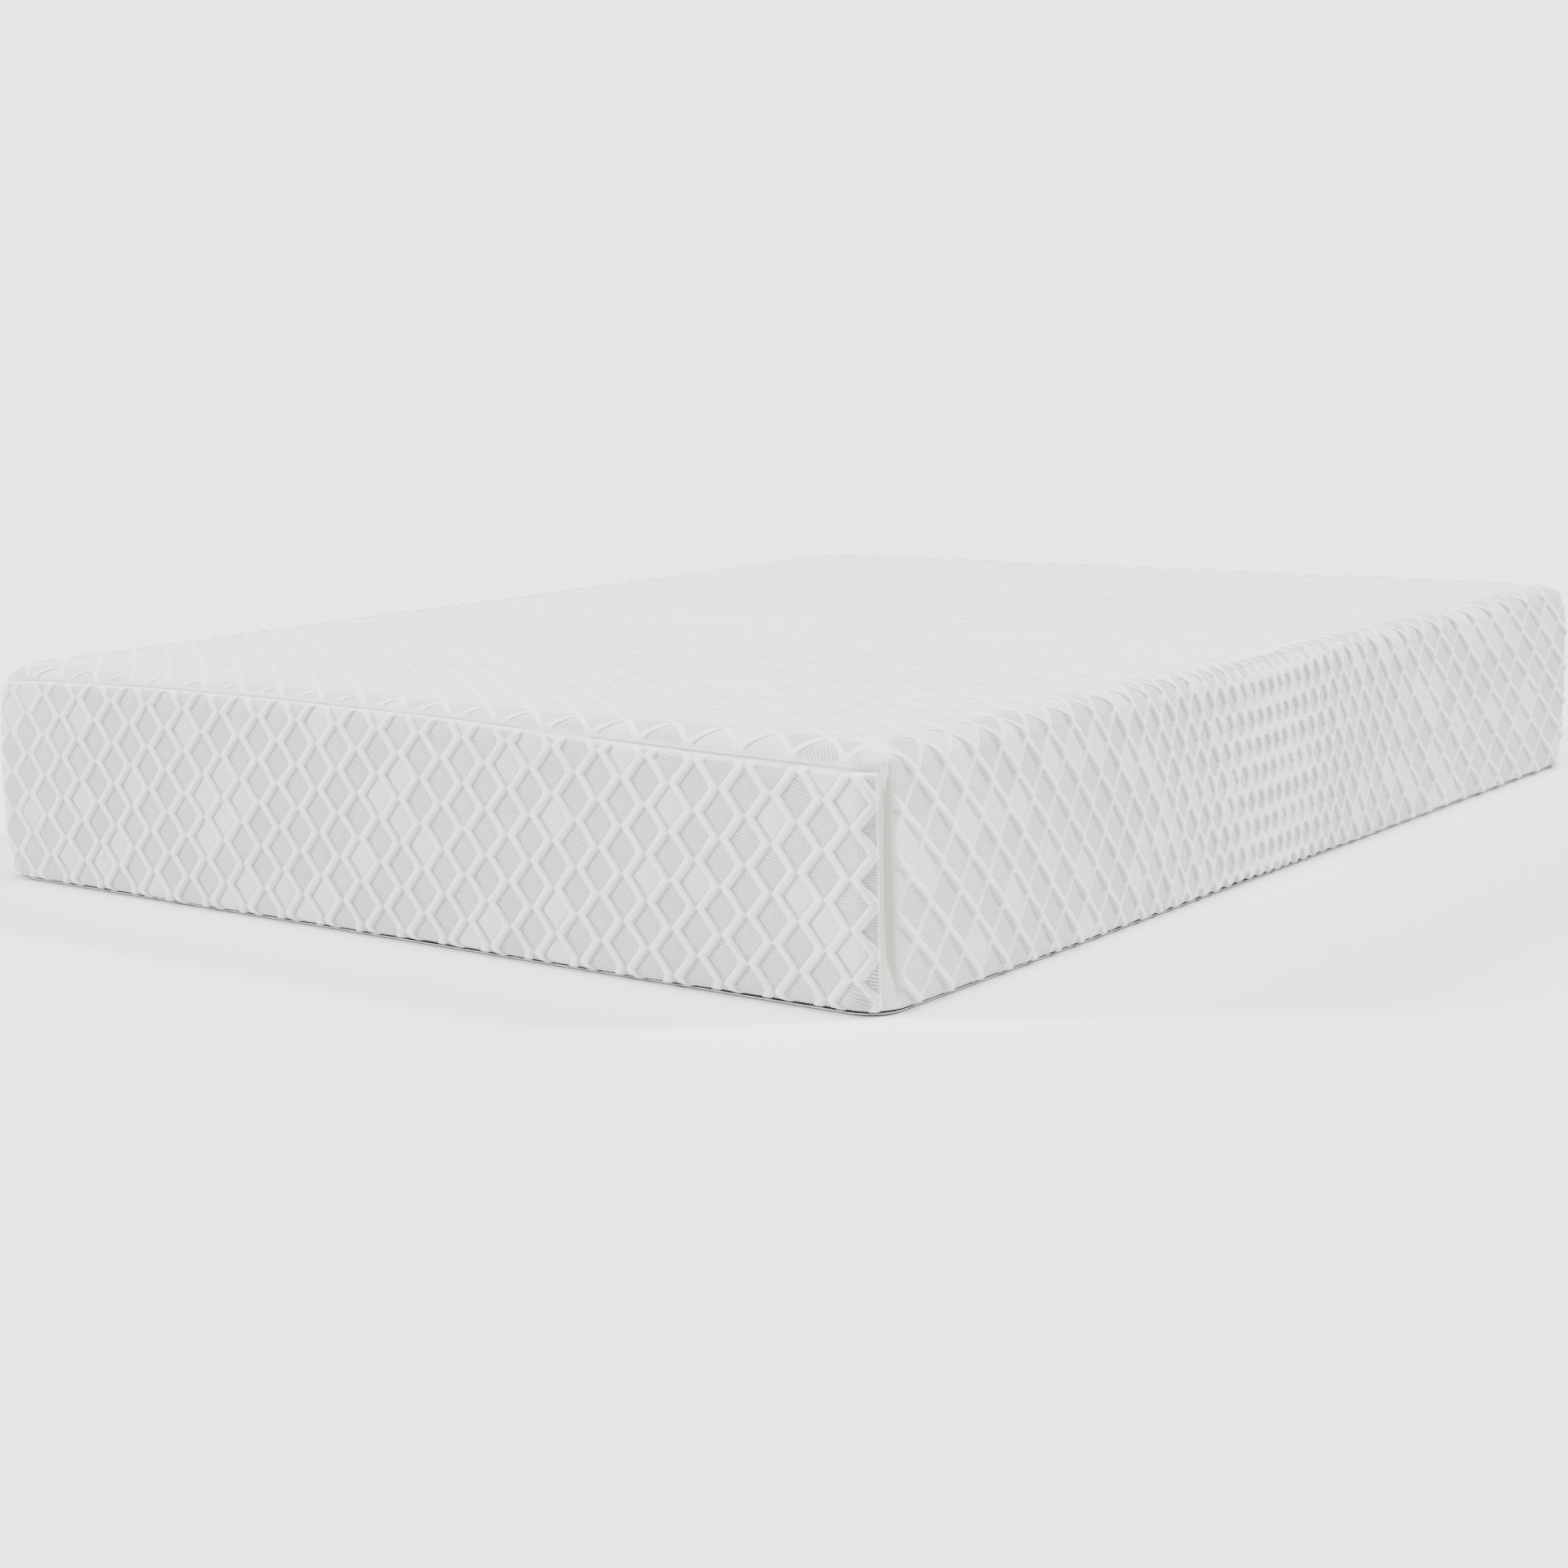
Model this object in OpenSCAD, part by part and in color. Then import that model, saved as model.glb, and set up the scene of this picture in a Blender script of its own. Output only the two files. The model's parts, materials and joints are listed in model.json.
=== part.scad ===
// Memory foam mattress with a knitted waterfall cover.
// Millimetres. +Z is up, X is the width, Y is the length.
// The origin is the centre of the resting face. The foot end is at -Y and the
// head end, with the zip, is at +Y.

/* [Mattress] */
// Finished width of the mattress
width = 1524; // [900:1:2000]
// Finished length of the mattress
length = 2032; // [1800:1:2200]
// Finished height of the mattress
height = 305; // [240:1:360]
// Plan radius of the four upright corners
corner_r = 46; // [35:1:70]
// Radius of the soft edge round the top
top_r = 30; // [20:1:34]
// Radius of the edge round the bottom
bottom_r = 18; // [12:1:20]

/* [Cover] */
// Thickness of the double-jacquard knit and its loft
knit_t = 4; // [3:0.5:6]
// Thickness of the non-slip base fabric
base_t = 3; // [2:0.5:4]
// How far the top fabric turns down over each end before its seam
turn_down = 22; // [16:1:30]
// Height of the seam that joins the base fabric to the sides
base_seam_z = 9; // [7:0.5:10]
// Width of the groove that each seam lies in
seam_w = 1.6; // [1.2:0.1:2.4]

/* [Foam core] */
// Thickness of the fire barrier sock
sock_t = 1.5; // [1:0.5:2]
// Thickness of the memory foam comfort layer
comfort_t = 60; // [40:1:80]
// Thickness of the transition foam layer
transition_t = 57; // [30:1:70]
// Gap left behind the zip at the head end, for the slider's inner plate
zip_gap = 7.5; // [7:0.5:12]

/* [Zip] */
// Height of the middle of the zip above the floor
zip_z = 27; // [26:0.5:32]
// Height of the window between the two folded hems
zip_window = 17; // [15:0.5:19]
// Width of one zip tape
tape_w = 14; // [12:0.5:16]
// Width of one coil row
coil_w = 2.6; // [2:0.1:3]
// Gap between the two coil rows
coil_gap = 1.2; // [1:0.1:1.6]
// Length of the pull tab
tab_l = 26; // [20:1:34]

/* [Labels] */
// Width of the larger sewn label
label_w = 76; // [50:1:100]
// Height of the larger sewn label
label_h = 102; // [60:1:130]

/* [Hidden] */

$fn = 64;
hw = width / 2;
hl = length / 2;
seam_z = height - turn_down;      // height of the seam along the top of each end
ang = 45;                         // where the upright seam sits on a corner
cx = hw - corner_r;               // centres of the corner arcs
cy = hl - corner_r;
far = 60;                         // reach of the cutting shapes past the cover

sock_out_h = height - knit_t;     // outside of the sock, top
sock_head_y = hl - knit_t - zip_gap;
foam_hw = hw - knit_t - sock_t;
foam_foot = hl - knit_t - sock_t; // measured to -Y
foam_head = sock_head_y - sock_t; // measured to +Y
foam_top = sock_out_h - sock_t;
foam_bottom = base_t + sock_t;
comfort_z = foam_top - comfort_t;
transition_z = comfort_z - transition_t;

zip_half = cx - 8;                // half length of the tapes
chain_half = cx - 16;             // half length of the coil rows
tape_t = 0.6;
coil_t = 2.2;
tape_y = hl - 9.1;                // back of the tapes
tape_face = tape_y + tape_t;      // face that the coils lie on
coil_face = tape_face + coil_t;
hem_in = tape_face;               // back of the folded hems
plate_t = 1.4;
slide_gap = 0.3;
slider_w = 2 * coil_w + coil_gap + 2 * slide_gap + 2 * 0.9;
slider_l = 13;
slider_x = -chain_half + 8 + slider_l / 2;  // middle of the slider, zip closed
outer_y = coil_face + slide_gap;  // inner face of the slider's outer plate
inner_y = tape_y - slide_gap;     // outer face of the slider's inner plate
pivot_y = outer_y + plate_t + 1.2;
pivot_x = slider_x;

// ---- helpers -------------------------------------------------------------

// Rounded rectangle with its middle at the origin.
module plan(w, l, r) {
  square([w - 2 * r, l], center = true);
  square([w, l - 2 * r], center = true);
  for (sx = [-1, 1], sy = [-1, 1])
    translate([sx * (w / 2 - r), sy * (l / 2 - r)]) circle(r = r);
}

// How far a rounded block's outline is set in at height z.
function inset(z, z0, z1, rt, rb) =
  z < z0 + rb ? rb - sqrt(max(0, rb * rb - pow(z0 + rb - z, 2))) :
  z > z1 - rt ? rt - sqrt(max(0, rt * rt - pow(z - z1 + rt, 2))) : 0;

// One outline: four corner arcs of radius r - i about fixed centres.
function outline(w, y0, y1, r, i, z) = [
  for (k = [0:3], a = [0:9:90])
    let (c = [(k == 0 || k == 3 ? 1 : -1) * (w / 2 - r),
              k < 2 ? y1 - r : y0 + r])
      [c[0] + (r - i) * cos(k * 90 + a), c[1] + (r - i) * sin(k * 90 + a), z]];

// Block with rounded upright corners and rounded top and bottom edges,
// drawn between the heights lo and hi.
module soft_block(w, y0, y1, z0, z1, r, rt, rb, lo = -1, hi = 1000) {
  full = concat([for (a = [0:15:90]) z0 + rb * (1 - cos(a))],
                [for (a = [90:-15:0]) z1 - rt * (1 - cos(a))]);
  zs = concat(lo > z0 ? [lo] : [],
              [for (z = full) if (z > lo + 0.01 && z < hi - 0.01) z],
              hi < z1 ? [hi] : []);
  n = 44;
  m = len(zs);
  pts = [for (z = zs) each outline(w, y0, y1, r, inset(z, z0, z1, rt, rb), z)];
  polyhedron(points = pts, faces = concat(
    [[for (k = [0:n - 1]) k]],
    [[for (k = [n - 1:-1:0]) (m - 1) * n + k]],
    [for (j = [0:m - 2], k = [0:n - 1])
      [j * n + k, (j + 1) * n + k, (j + 1) * n + (k + 1) % n, j * n + (k + 1) % n]]));
}

module outer_block() {
  soft_block(width, -hl, hl, 0, height, corner_r, top_r, bottom_r);
}

module inner_block() {
  soft_block(width - 2 * knit_t, -(hl - knit_t), hl - knit_t, base_t,
             height - knit_t, corner_r - knit_t, top_r - knit_t,
             bottom_r - base_t);
}

// Everything on one end, between planes through the corner arcs' centres,
// moved in by g. sy is -1 at the foot and 1 at the head.
module end_region(sy, g, z0, z1) {
  translate([0, 0, z0]) linear_extrude(z1 - z0)
    polygon([[-(cx - g), sy * cy],
             [cx - g, sy * cy],
             [cx - g + far * tan(ang), sy * (cy + far)],
             [-(cx - g) - far * tan(ang), sy * (cy + far)]]);
}

// The band that one end's edge seam lies in.
module end_seam(sy) {
  // along the top of the end
  difference() {
    intersection() {
      translate([0, 0, seam_z - seam_w / 2])
        linear_extrude(seam_w) difference() {
          plan(width - 1.6, length - 1.6, corner_r - 0.8);
          plan(width - 2 * knit_t, length - 2 * knit_t, corner_r - knit_t);
        }
      end_region(sy, 0, seam_z - seam_w, seam_z + seam_w);
    }
  }
  // down the two corners
  for (sx = [-1, 1])
    translate([sx * cx, sy * cy, base_seam_z + seam_w / 2])
      rotate([0, 0, atan2(sy, sx)])
        translate([corner_r - knit_t + 0.1, -seam_w * 0.45, bottom_r - base_seam_z])
          cube([knit_t - 0.9, seam_w * 0.9,
                seam_z - seam_w / 2 - bottom_r - seam_w / 2 - 0.2]);
}

// ---- cover ---------------------------------------------------------------

// One piece of knit: the sleeping surface and both long sides.
module top_side_panel() {
  color([0.90, 0.91, 0.92]) difference() {
    outer_block();
    inner_block();
    for (sy = [-1, 1])
      end_region(sy, -seam_w * 0.7, -1, seam_z + seam_w / 2);
    translate([-hw - 1, -hl - 1, -1])
      cube([width + 2, length + 2, base_seam_z + seam_w / 2 + 1]);
  }
}

// Knit panel across the foot end.
module foot_end_panel() {
  color([0.88, 0.89, 0.90]) intersection() {
    difference() {
      outer_block();
      inner_block();
    }
    end_region(-1, seam_w * 0.7, base_seam_z + seam_w / 2,
               seam_z - seam_w / 2);
  }
}

// Knit panel across the head end, with its lower edge folded under
// above the zip.
module head_end_panel() {
  win = zip_z + zip_window / 2;
  color([0.88, 0.89, 0.90]) {
    difference() {
      intersection() {
        difference() {
          outer_block();
          inner_block();
        }
        end_region(1, seam_w * 0.7, zip_z - zip_window / 2 + 0.4,
                   seam_z - seam_w / 2);
      }
      translate([-cx, hl - knit_t - 2, -1])
        cube([2 * cx, knit_t + 4, win + 1]);
    }
    translate([-cx, hem_in, win])
      cube([2 * cx, hl - knit_t - hem_in + 0.01, 12]);
  }
}

// Strip of the same knit between the zip and the base, with a folded hem.
module zip_placket_strip() {
  win = zip_z - zip_window / 2;
  color([0.88, 0.89, 0.90]) {
    intersection() {
      difference() {
        outer_block();
        inner_block();
      }
      end_region(1, seam_w * 0.7, base_seam_z + seam_w / 2, win);
    }
    translate([-cx, hem_in, win - 3.5])
      cube([2 * cx, hl - knit_t - hem_in + 0.01, 3.5]);
  }
}

// Non-slip fabric that the mattress rests on, turned up a little all round.
module base_panel() {
  color([0.80, 0.80, 0.79]) difference() {
    outer_block();
    inner_block();
    translate([-hw - 1, -hl - 1, base_seam_z - seam_w / 2])
      cube([width + 2, length + 2, height]);
  }
}

module foot_panel_seam() { color([0.80, 0.80, 0.78]) end_seam(-1); }

module head_panel_seam() { color([0.80, 0.80, 0.78]) end_seam(1); }

// Sewn line between the sides and the base.
module base_seam() {
  color([0.74, 0.74, 0.72])
    translate([0, 0, base_seam_z - seam_w / 2]) linear_extrude(seam_w)
      difference() {
        plan(width - 5.8, length - 5.8, corner_r - 2.9);
        plan(width - 11.8, length - 11.8, corner_r - 5.9);
      }
}

// ---- core ----------------------------------------------------------------

// Closed knitted sleeve round the foam, under the cover.
module fire_barrier_sock() {
  r = corner_r - knit_t;
  color([0.93, 0.93, 0.90]) difference() {
    soft_block(2 * (hw - knit_t), -(hl - knit_t), sock_head_y, base_t,
               sock_out_h, r, top_r - knit_t, bottom_r - base_t);
    soft_block(2 * foam_hw, -foam_foot, foam_head, foam_bottom, foam_top,
               r - sock_t, top_r - knit_t - sock_t,
               bottom_r - base_t - sock_t);
  }
}

// The foam stack between two heights.
module foam_layer(lo, hi) {
  soft_block(2 * foam_hw, -foam_foot, foam_head, foam_bottom, foam_top,
             corner_r - knit_t - sock_t, top_r - knit_t - sock_t,
             bottom_r - base_t - sock_t, lo, hi);
}

// Slow-recovery foam that the sleeper lies on.
module comfort_foam() {
  color([0.62, 0.80, 0.86]) foam_layer(comfort_z, 1000);
}

// Medium foam that spreads the load.
module transition_foam() {
  color([0.86, 0.90, 0.93]) foam_layer(transition_z, comfort_z);
}

// Firm foam base that carries the whole mattress.
module support_core() {
  color([0.93, 0.92, 0.86]) foam_layer(-1, transition_z);
}

// ---- zip -----------------------------------------------------------------

// One tape. s is 1 above the chain and -1 below it.
module zip_tape(s) {
  in_edge = coil_gap / 2 + 0.6;
  color([0.84, 0.84, 0.83])
    translate([-zip_half, tape_y, s > 0 ? zip_z + in_edge : zip_z - in_edge - tape_w])
      cube([2 * zip_half, tape_t, tape_w]);
}

// One coil row, as its outer shape.
module zip_coil(s) {
  color([0.90, 0.90, 0.89])
    translate([-chain_half, tape_face,
               s > 0 ? zip_z + coil_gap / 2 : zip_z - coil_gap / 2 - coil_w])
      cube([2 * chain_half, coil_t, coil_w]);
}

module zip_upper_tape() { zip_tape(1); }
module zip_lower_tape() { zip_tape(-1); }
module zip_upper_coil() { zip_coil(1); }
module zip_lower_coil() { zip_coil(-1); }

// Crimped stops at the two ends of the chain.
module zip_end_stops() {
  color([0.72, 0.73, 0.75]) for (sx = [-1, 1])
    translate([sx > 0 ? chain_half : -chain_half - 4, tape_face,
               zip_z - coil_gap / 2 - coil_w])
      cube([4, coil_t, 2 * coil_w + coil_gap]);
}

// Slider: two plates, two side flanges, the divider between the coil rows and
// the bridge that the pull tab hangs on.
module zip_slider() {
  color([0.72, 0.73, 0.75]) {
    // outer plate
    translate([slider_x - slider_l / 2, outer_y, zip_z - slider_w / 2])
      cube([slider_l, plate_t, slider_w]);
    // flanges
    for (s = [0, 1])
      translate([slider_x - slider_l / 2, tape_face + slide_gap,
                 s > 0 ? zip_z + slider_w / 2 - 0.9 : zip_z - slider_w / 2])
        cube([slider_l, outer_y - tape_face - slide_gap + 0.2, 0.9]);
    // inner plate
    translate([slider_x - slider_l / 2, inner_y - plate_t, zip_z - slider_w / 2])
      cube([slider_l, plate_t, slider_w]);
    // divider
    translate([slider_x - slider_l / 2, inner_y - 0.2, zip_z - 0.3])
      cube([4, outer_y - inner_y + 0.4, 0.6]);
    // bridge
    difference() {
      translate([slider_x - 4.5, outer_y + plate_t - 0.1, zip_z - 1])
        cube([9, 3, 2]);
      translate([pivot_x, pivot_y, zip_z - 3]) cylinder(r = 0.85, h = 6, $fn = 32);
    }
  }
}

// Pull tab: a cross pin through the bridge, two arms and a blank blade.
module zip_pull_tab() {
  color([0.70, 0.71, 0.73]) {
    translate([pivot_x, pivot_y, zip_z - 3.2])
      cylinder(r = 0.8, h = 6.4, $fn = 32);
    for (s = [-1, 1])
      translate([pivot_x, pivot_y, zip_z + s * 2.5])
        rotate([0, 0, 0]) translate([0, -0.8, -0.7]) cube([9, 1.6, 1.4]);
    translate([pivot_x + 8, pivot_y - 0.8, zip_z - 3.2]) cube([tab_l - 8, 1.6, 6.4]);
  }
}

// Two blank sewn-in labels, flat on the head end.
module sewn_labels() {
  color([0.95, 0.95, 0.94]) {
    translate([360, hl, 70]) cube([label_w, 0.5, label_h]);
    translate([450, hl, 100]) cube([label_w * 0.75, 0.5, label_h * 0.7]);
  }
}

top_side_panel();
foot_end_panel();
head_end_panel();
zip_placket_strip();
base_panel();
foot_panel_seam();
head_panel_seam();
base_seam();
fire_barrier_sock();
comfort_foam();
transition_foam();
support_core();
zip_upper_tape();
zip_lower_tape();
zip_upper_coil();
zip_lower_coil();
zip_end_stops();
zip_slider();
zip_pull_tab();
sewn_labels();
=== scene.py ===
import json
import math

import bpy
import numpy as np
from mathutils import Matrix, Vector


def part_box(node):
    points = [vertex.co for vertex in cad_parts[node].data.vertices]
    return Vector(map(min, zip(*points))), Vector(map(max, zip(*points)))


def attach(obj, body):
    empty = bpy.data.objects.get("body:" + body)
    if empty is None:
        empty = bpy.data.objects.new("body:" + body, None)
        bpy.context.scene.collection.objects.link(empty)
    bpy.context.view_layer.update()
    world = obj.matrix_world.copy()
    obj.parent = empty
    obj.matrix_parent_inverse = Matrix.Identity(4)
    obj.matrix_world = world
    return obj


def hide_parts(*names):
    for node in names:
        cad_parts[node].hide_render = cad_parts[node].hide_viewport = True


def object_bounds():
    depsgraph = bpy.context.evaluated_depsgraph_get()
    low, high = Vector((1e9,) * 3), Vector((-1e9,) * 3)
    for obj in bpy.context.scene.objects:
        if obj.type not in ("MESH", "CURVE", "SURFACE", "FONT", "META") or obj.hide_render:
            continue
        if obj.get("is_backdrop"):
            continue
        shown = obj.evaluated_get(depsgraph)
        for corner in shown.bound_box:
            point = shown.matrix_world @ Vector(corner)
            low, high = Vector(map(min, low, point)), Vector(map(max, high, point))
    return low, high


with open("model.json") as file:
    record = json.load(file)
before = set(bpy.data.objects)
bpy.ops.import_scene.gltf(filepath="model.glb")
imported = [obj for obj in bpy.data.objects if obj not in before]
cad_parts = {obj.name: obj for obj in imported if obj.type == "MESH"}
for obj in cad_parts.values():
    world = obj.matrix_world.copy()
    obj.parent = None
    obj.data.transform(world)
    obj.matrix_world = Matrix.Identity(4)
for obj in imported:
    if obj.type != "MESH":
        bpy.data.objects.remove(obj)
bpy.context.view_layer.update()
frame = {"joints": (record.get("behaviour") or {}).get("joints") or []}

MM = 0.001

# ---------------------------------------------------------------- camera
yaw, pitch, roll = math.radians(-36.791), math.radians(9.636), math.radians(-1.096)
cam_pos = np.array([2.3886, -3.3638, 0.7508])
fwd = np.array([math.sin(yaw) * math.cos(pitch), math.cos(yaw) * math.cos(pitch), -math.sin(pitch)])
rgt = np.array([math.cos(yaw), -math.sin(yaw), 0.0])
up = np.cross(rgt, fwd)
rgt, up = (math.cos(roll) * rgt + math.sin(roll) * up, -math.sin(roll) * rgt + math.cos(roll) * up)
cam_data = bpy.data.cameras.new("camera")
cam = bpy.data.objects.new("camera", cam_data)
bpy.context.scene.collection.objects.link(cam)
cam_data.sensor_width = 36.0
cam_data.lens = 3342.4 / 1932 * 36
cam_data.clip_end = 100
cam.matrix_world = Matrix((
    (rgt[0], up[0], -fwd[0], cam_pos[0]),
    (rgt[1], up[1], -fwd[1], cam_pos[1]),
    (rgt[2], up[2], -fwd[2], cam_pos[2]),
    (0, 0, 0, 1)))
bpy.context.scene.camera = cam

# ---------------------------------------------------------------- small tools


def link(ob):
    bpy.context.scene.collection.objects.link(ob)
    return ob


def mesh_piece(name, verts, faces, mat, uvs=None, smooth=True, body="mattress"):
    """A piece from an (n, 3) array and one or more (m, k) arrays of faces. uvs: {name: one (m, k, 2) for each}."""
    me = bpy.data.meshes.new(name)
    verts = np.asarray(verts, np.float32)
    groups = [np.asarray(f, np.int64) for f in (faces if isinstance(faces, list) else [faces])]
    flat = np.concatenate([f.ravel() for f in groups])
    used, inv = np.unique(flat, return_inverse=True)
    verts = verts[used]
    total = np.concatenate([np.full(len(f), f.shape[1], np.int32) for f in groups])
    start = np.concatenate([[0], np.cumsum(total)[:-1]]).astype(np.int32)
    me.vertices.add(len(verts))
    me.vertices.foreach_set("co", verts.ravel())
    me.loops.add(len(flat))
    me.loops.foreach_set("vertex_index", inv.ravel().astype(np.int32))
    me.polygons.add(len(total))
    me.polygons.foreach_set("loop_start", start)
    me.polygons.foreach_set("loop_total", total)
    me.update(calc_edges=True)
    for u, arr in (uvs or {}).items():
        arr = arr if isinstance(arr, list) else [arr]
        layer = me.uv_layers.new(name=u)
        layer.data.foreach_set("uv", np.concatenate([np.asarray(x, np.float32).ravel() for x in arr]))
    me.polygons.foreach_set("use_smooth", np.full(len(total), smooth, bool))
    me.validate()
    ob = link(bpy.data.objects.new(name, me))
    me.materials.append(mat)
    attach(ob, body)
    return ob


def smoothstep(a, b, x):
    t = np.clip((np.asarray(x, float) - a) / (b - a), 0, 1)
    return t * t * (3 - 2 * t)


class Nodes:
    """A short way to write a node tree."""

    def __init__(self, name):
        self.mat = bpy.data.materials.new(name)
        self.mat.use_nodes = True
        self.t = self.mat.node_tree
        self.t.nodes.clear()
        self.out = self.t.nodes.new("ShaderNodeOutputMaterial")
        self.bsdf = self.t.nodes.new("ShaderNodeBsdfPrincipled")
        self.t.links.new(self.bsdf.outputs[0], self.out.inputs[0])

    def put(self, socket, value):
        if isinstance(value, bpy.types.NodeSocket):
            self.t.links.new(value, socket)
        elif value is not None:
            socket.default_value = value

    def math(self, op, a, b=None, c=None, clamp=False):
        n = self.t.nodes.new("ShaderNodeMath")
        n.operation = op
        n.use_clamp = clamp
        for s, v in zip(n.inputs, (a, b, c)):
            self.put(s, v)
        return n.outputs[0]

    def mix(self, fac, a, b):
        n = self.t.nodes.new("ShaderNodeMix")
        n.data_type = "RGBA"
        self.put(n.inputs["Factor"], fac)
        self.put(n.inputs["A"], a)
        self.put(n.inputs["B"], b)
        return n.outputs["Result"]

    def lerp(self, fac, a, b):
        n = self.t.nodes.new("ShaderNodeMix")
        n.data_type = "FLOAT"
        self.put(n.inputs["Factor"], fac)
        self.put(n.inputs["A"], a)
        self.put(n.inputs["B"], b)
        return n.outputs["Result"]

    def uv(self, name):
        n = self.t.nodes.new("ShaderNodeUVMap")
        n.uv_map = name
        s = self.t.nodes.new("ShaderNodeSeparateXYZ")
        self.t.links.new(n.outputs[0], s.inputs[0])
        return n.outputs[0], s.outputs[0], s.outputs[1]

    def xyz(self, x, y, z=0.0):
        n = self.t.nodes.new("ShaderNodeCombineXYZ")
        for s, v in zip(n.inputs, (x, y, z)):
            self.put(s, v)
        return n.outputs[0]

    def place(self, scale=(1, 1, 1)):
        tc = self.t.nodes.new("ShaderNodeTexCoord")
        n = self.t.nodes.new("ShaderNodeMapping")
        n.inputs["Scale"].default_value = scale
        self.t.links.new(tc.outputs["Object"], n.inputs["Vector"])
        return n.outputs[0]

    def noise(self, vec, scale, detail=3.0, rough=0.5):
        n = self.t.nodes.new("ShaderNodeTexNoise")
        self.put(n.inputs["Vector"], vec)
        n.inputs["Scale"].default_value = scale
        n.inputs["Detail"].default_value = detail
        n.inputs["Roughness"].default_value = rough
        return n.outputs["Fac"]

    def voronoi(self, vec, scale, feature="F1"):
        n = self.t.nodes.new("ShaderNodeTexVoronoi")
        n.feature = feature
        self.put(n.inputs["Vector"], vec)
        n.inputs["Scale"].default_value = scale
        return n.outputs["Distance"]

    def white(self, vec):
        n = self.t.nodes.new("ShaderNodeTexWhiteNoise")
        n.noise_dimensions = "3D"
        self.put(n.inputs["Vector"], vec)
        return n.outputs["Value"]

    def ramp(self, fac, lo, hi):
        n = self.t.nodes.new("ShaderNodeMapRange")
        n.interpolation_type = "SMOOTHSTEP"
        self.put(n.inputs["Value"], fac)
        n.inputs["From Min"].default_value = lo
        n.inputs["From Max"].default_value = hi
        return n.outputs["Result"]

    def attr(self, name):
        n = self.t.nodes.new("ShaderNodeAttribute")
        n.attribute_name = name
        return n.outputs["Fac"]

    def bump(self, height, distance, strength=1.0):
        n = self.t.nodes.new("ShaderNodeBump")
        n.inputs["Distance"].default_value = distance
        n.inputs["Strength"].default_value = strength
        self.put(n.inputs["Height"], height)
        self.t.links.new(n.outputs[0], self.bsdf.inputs["Normal"])
        return n.outputs[0]

    def set(self, **kw):
        for k, v in kw.items():
            self.put(self.bsdf.inputs[k.replace("_", " ")], v)
        return self.mat


# ---------------------------------------------------------------- materials


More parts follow.
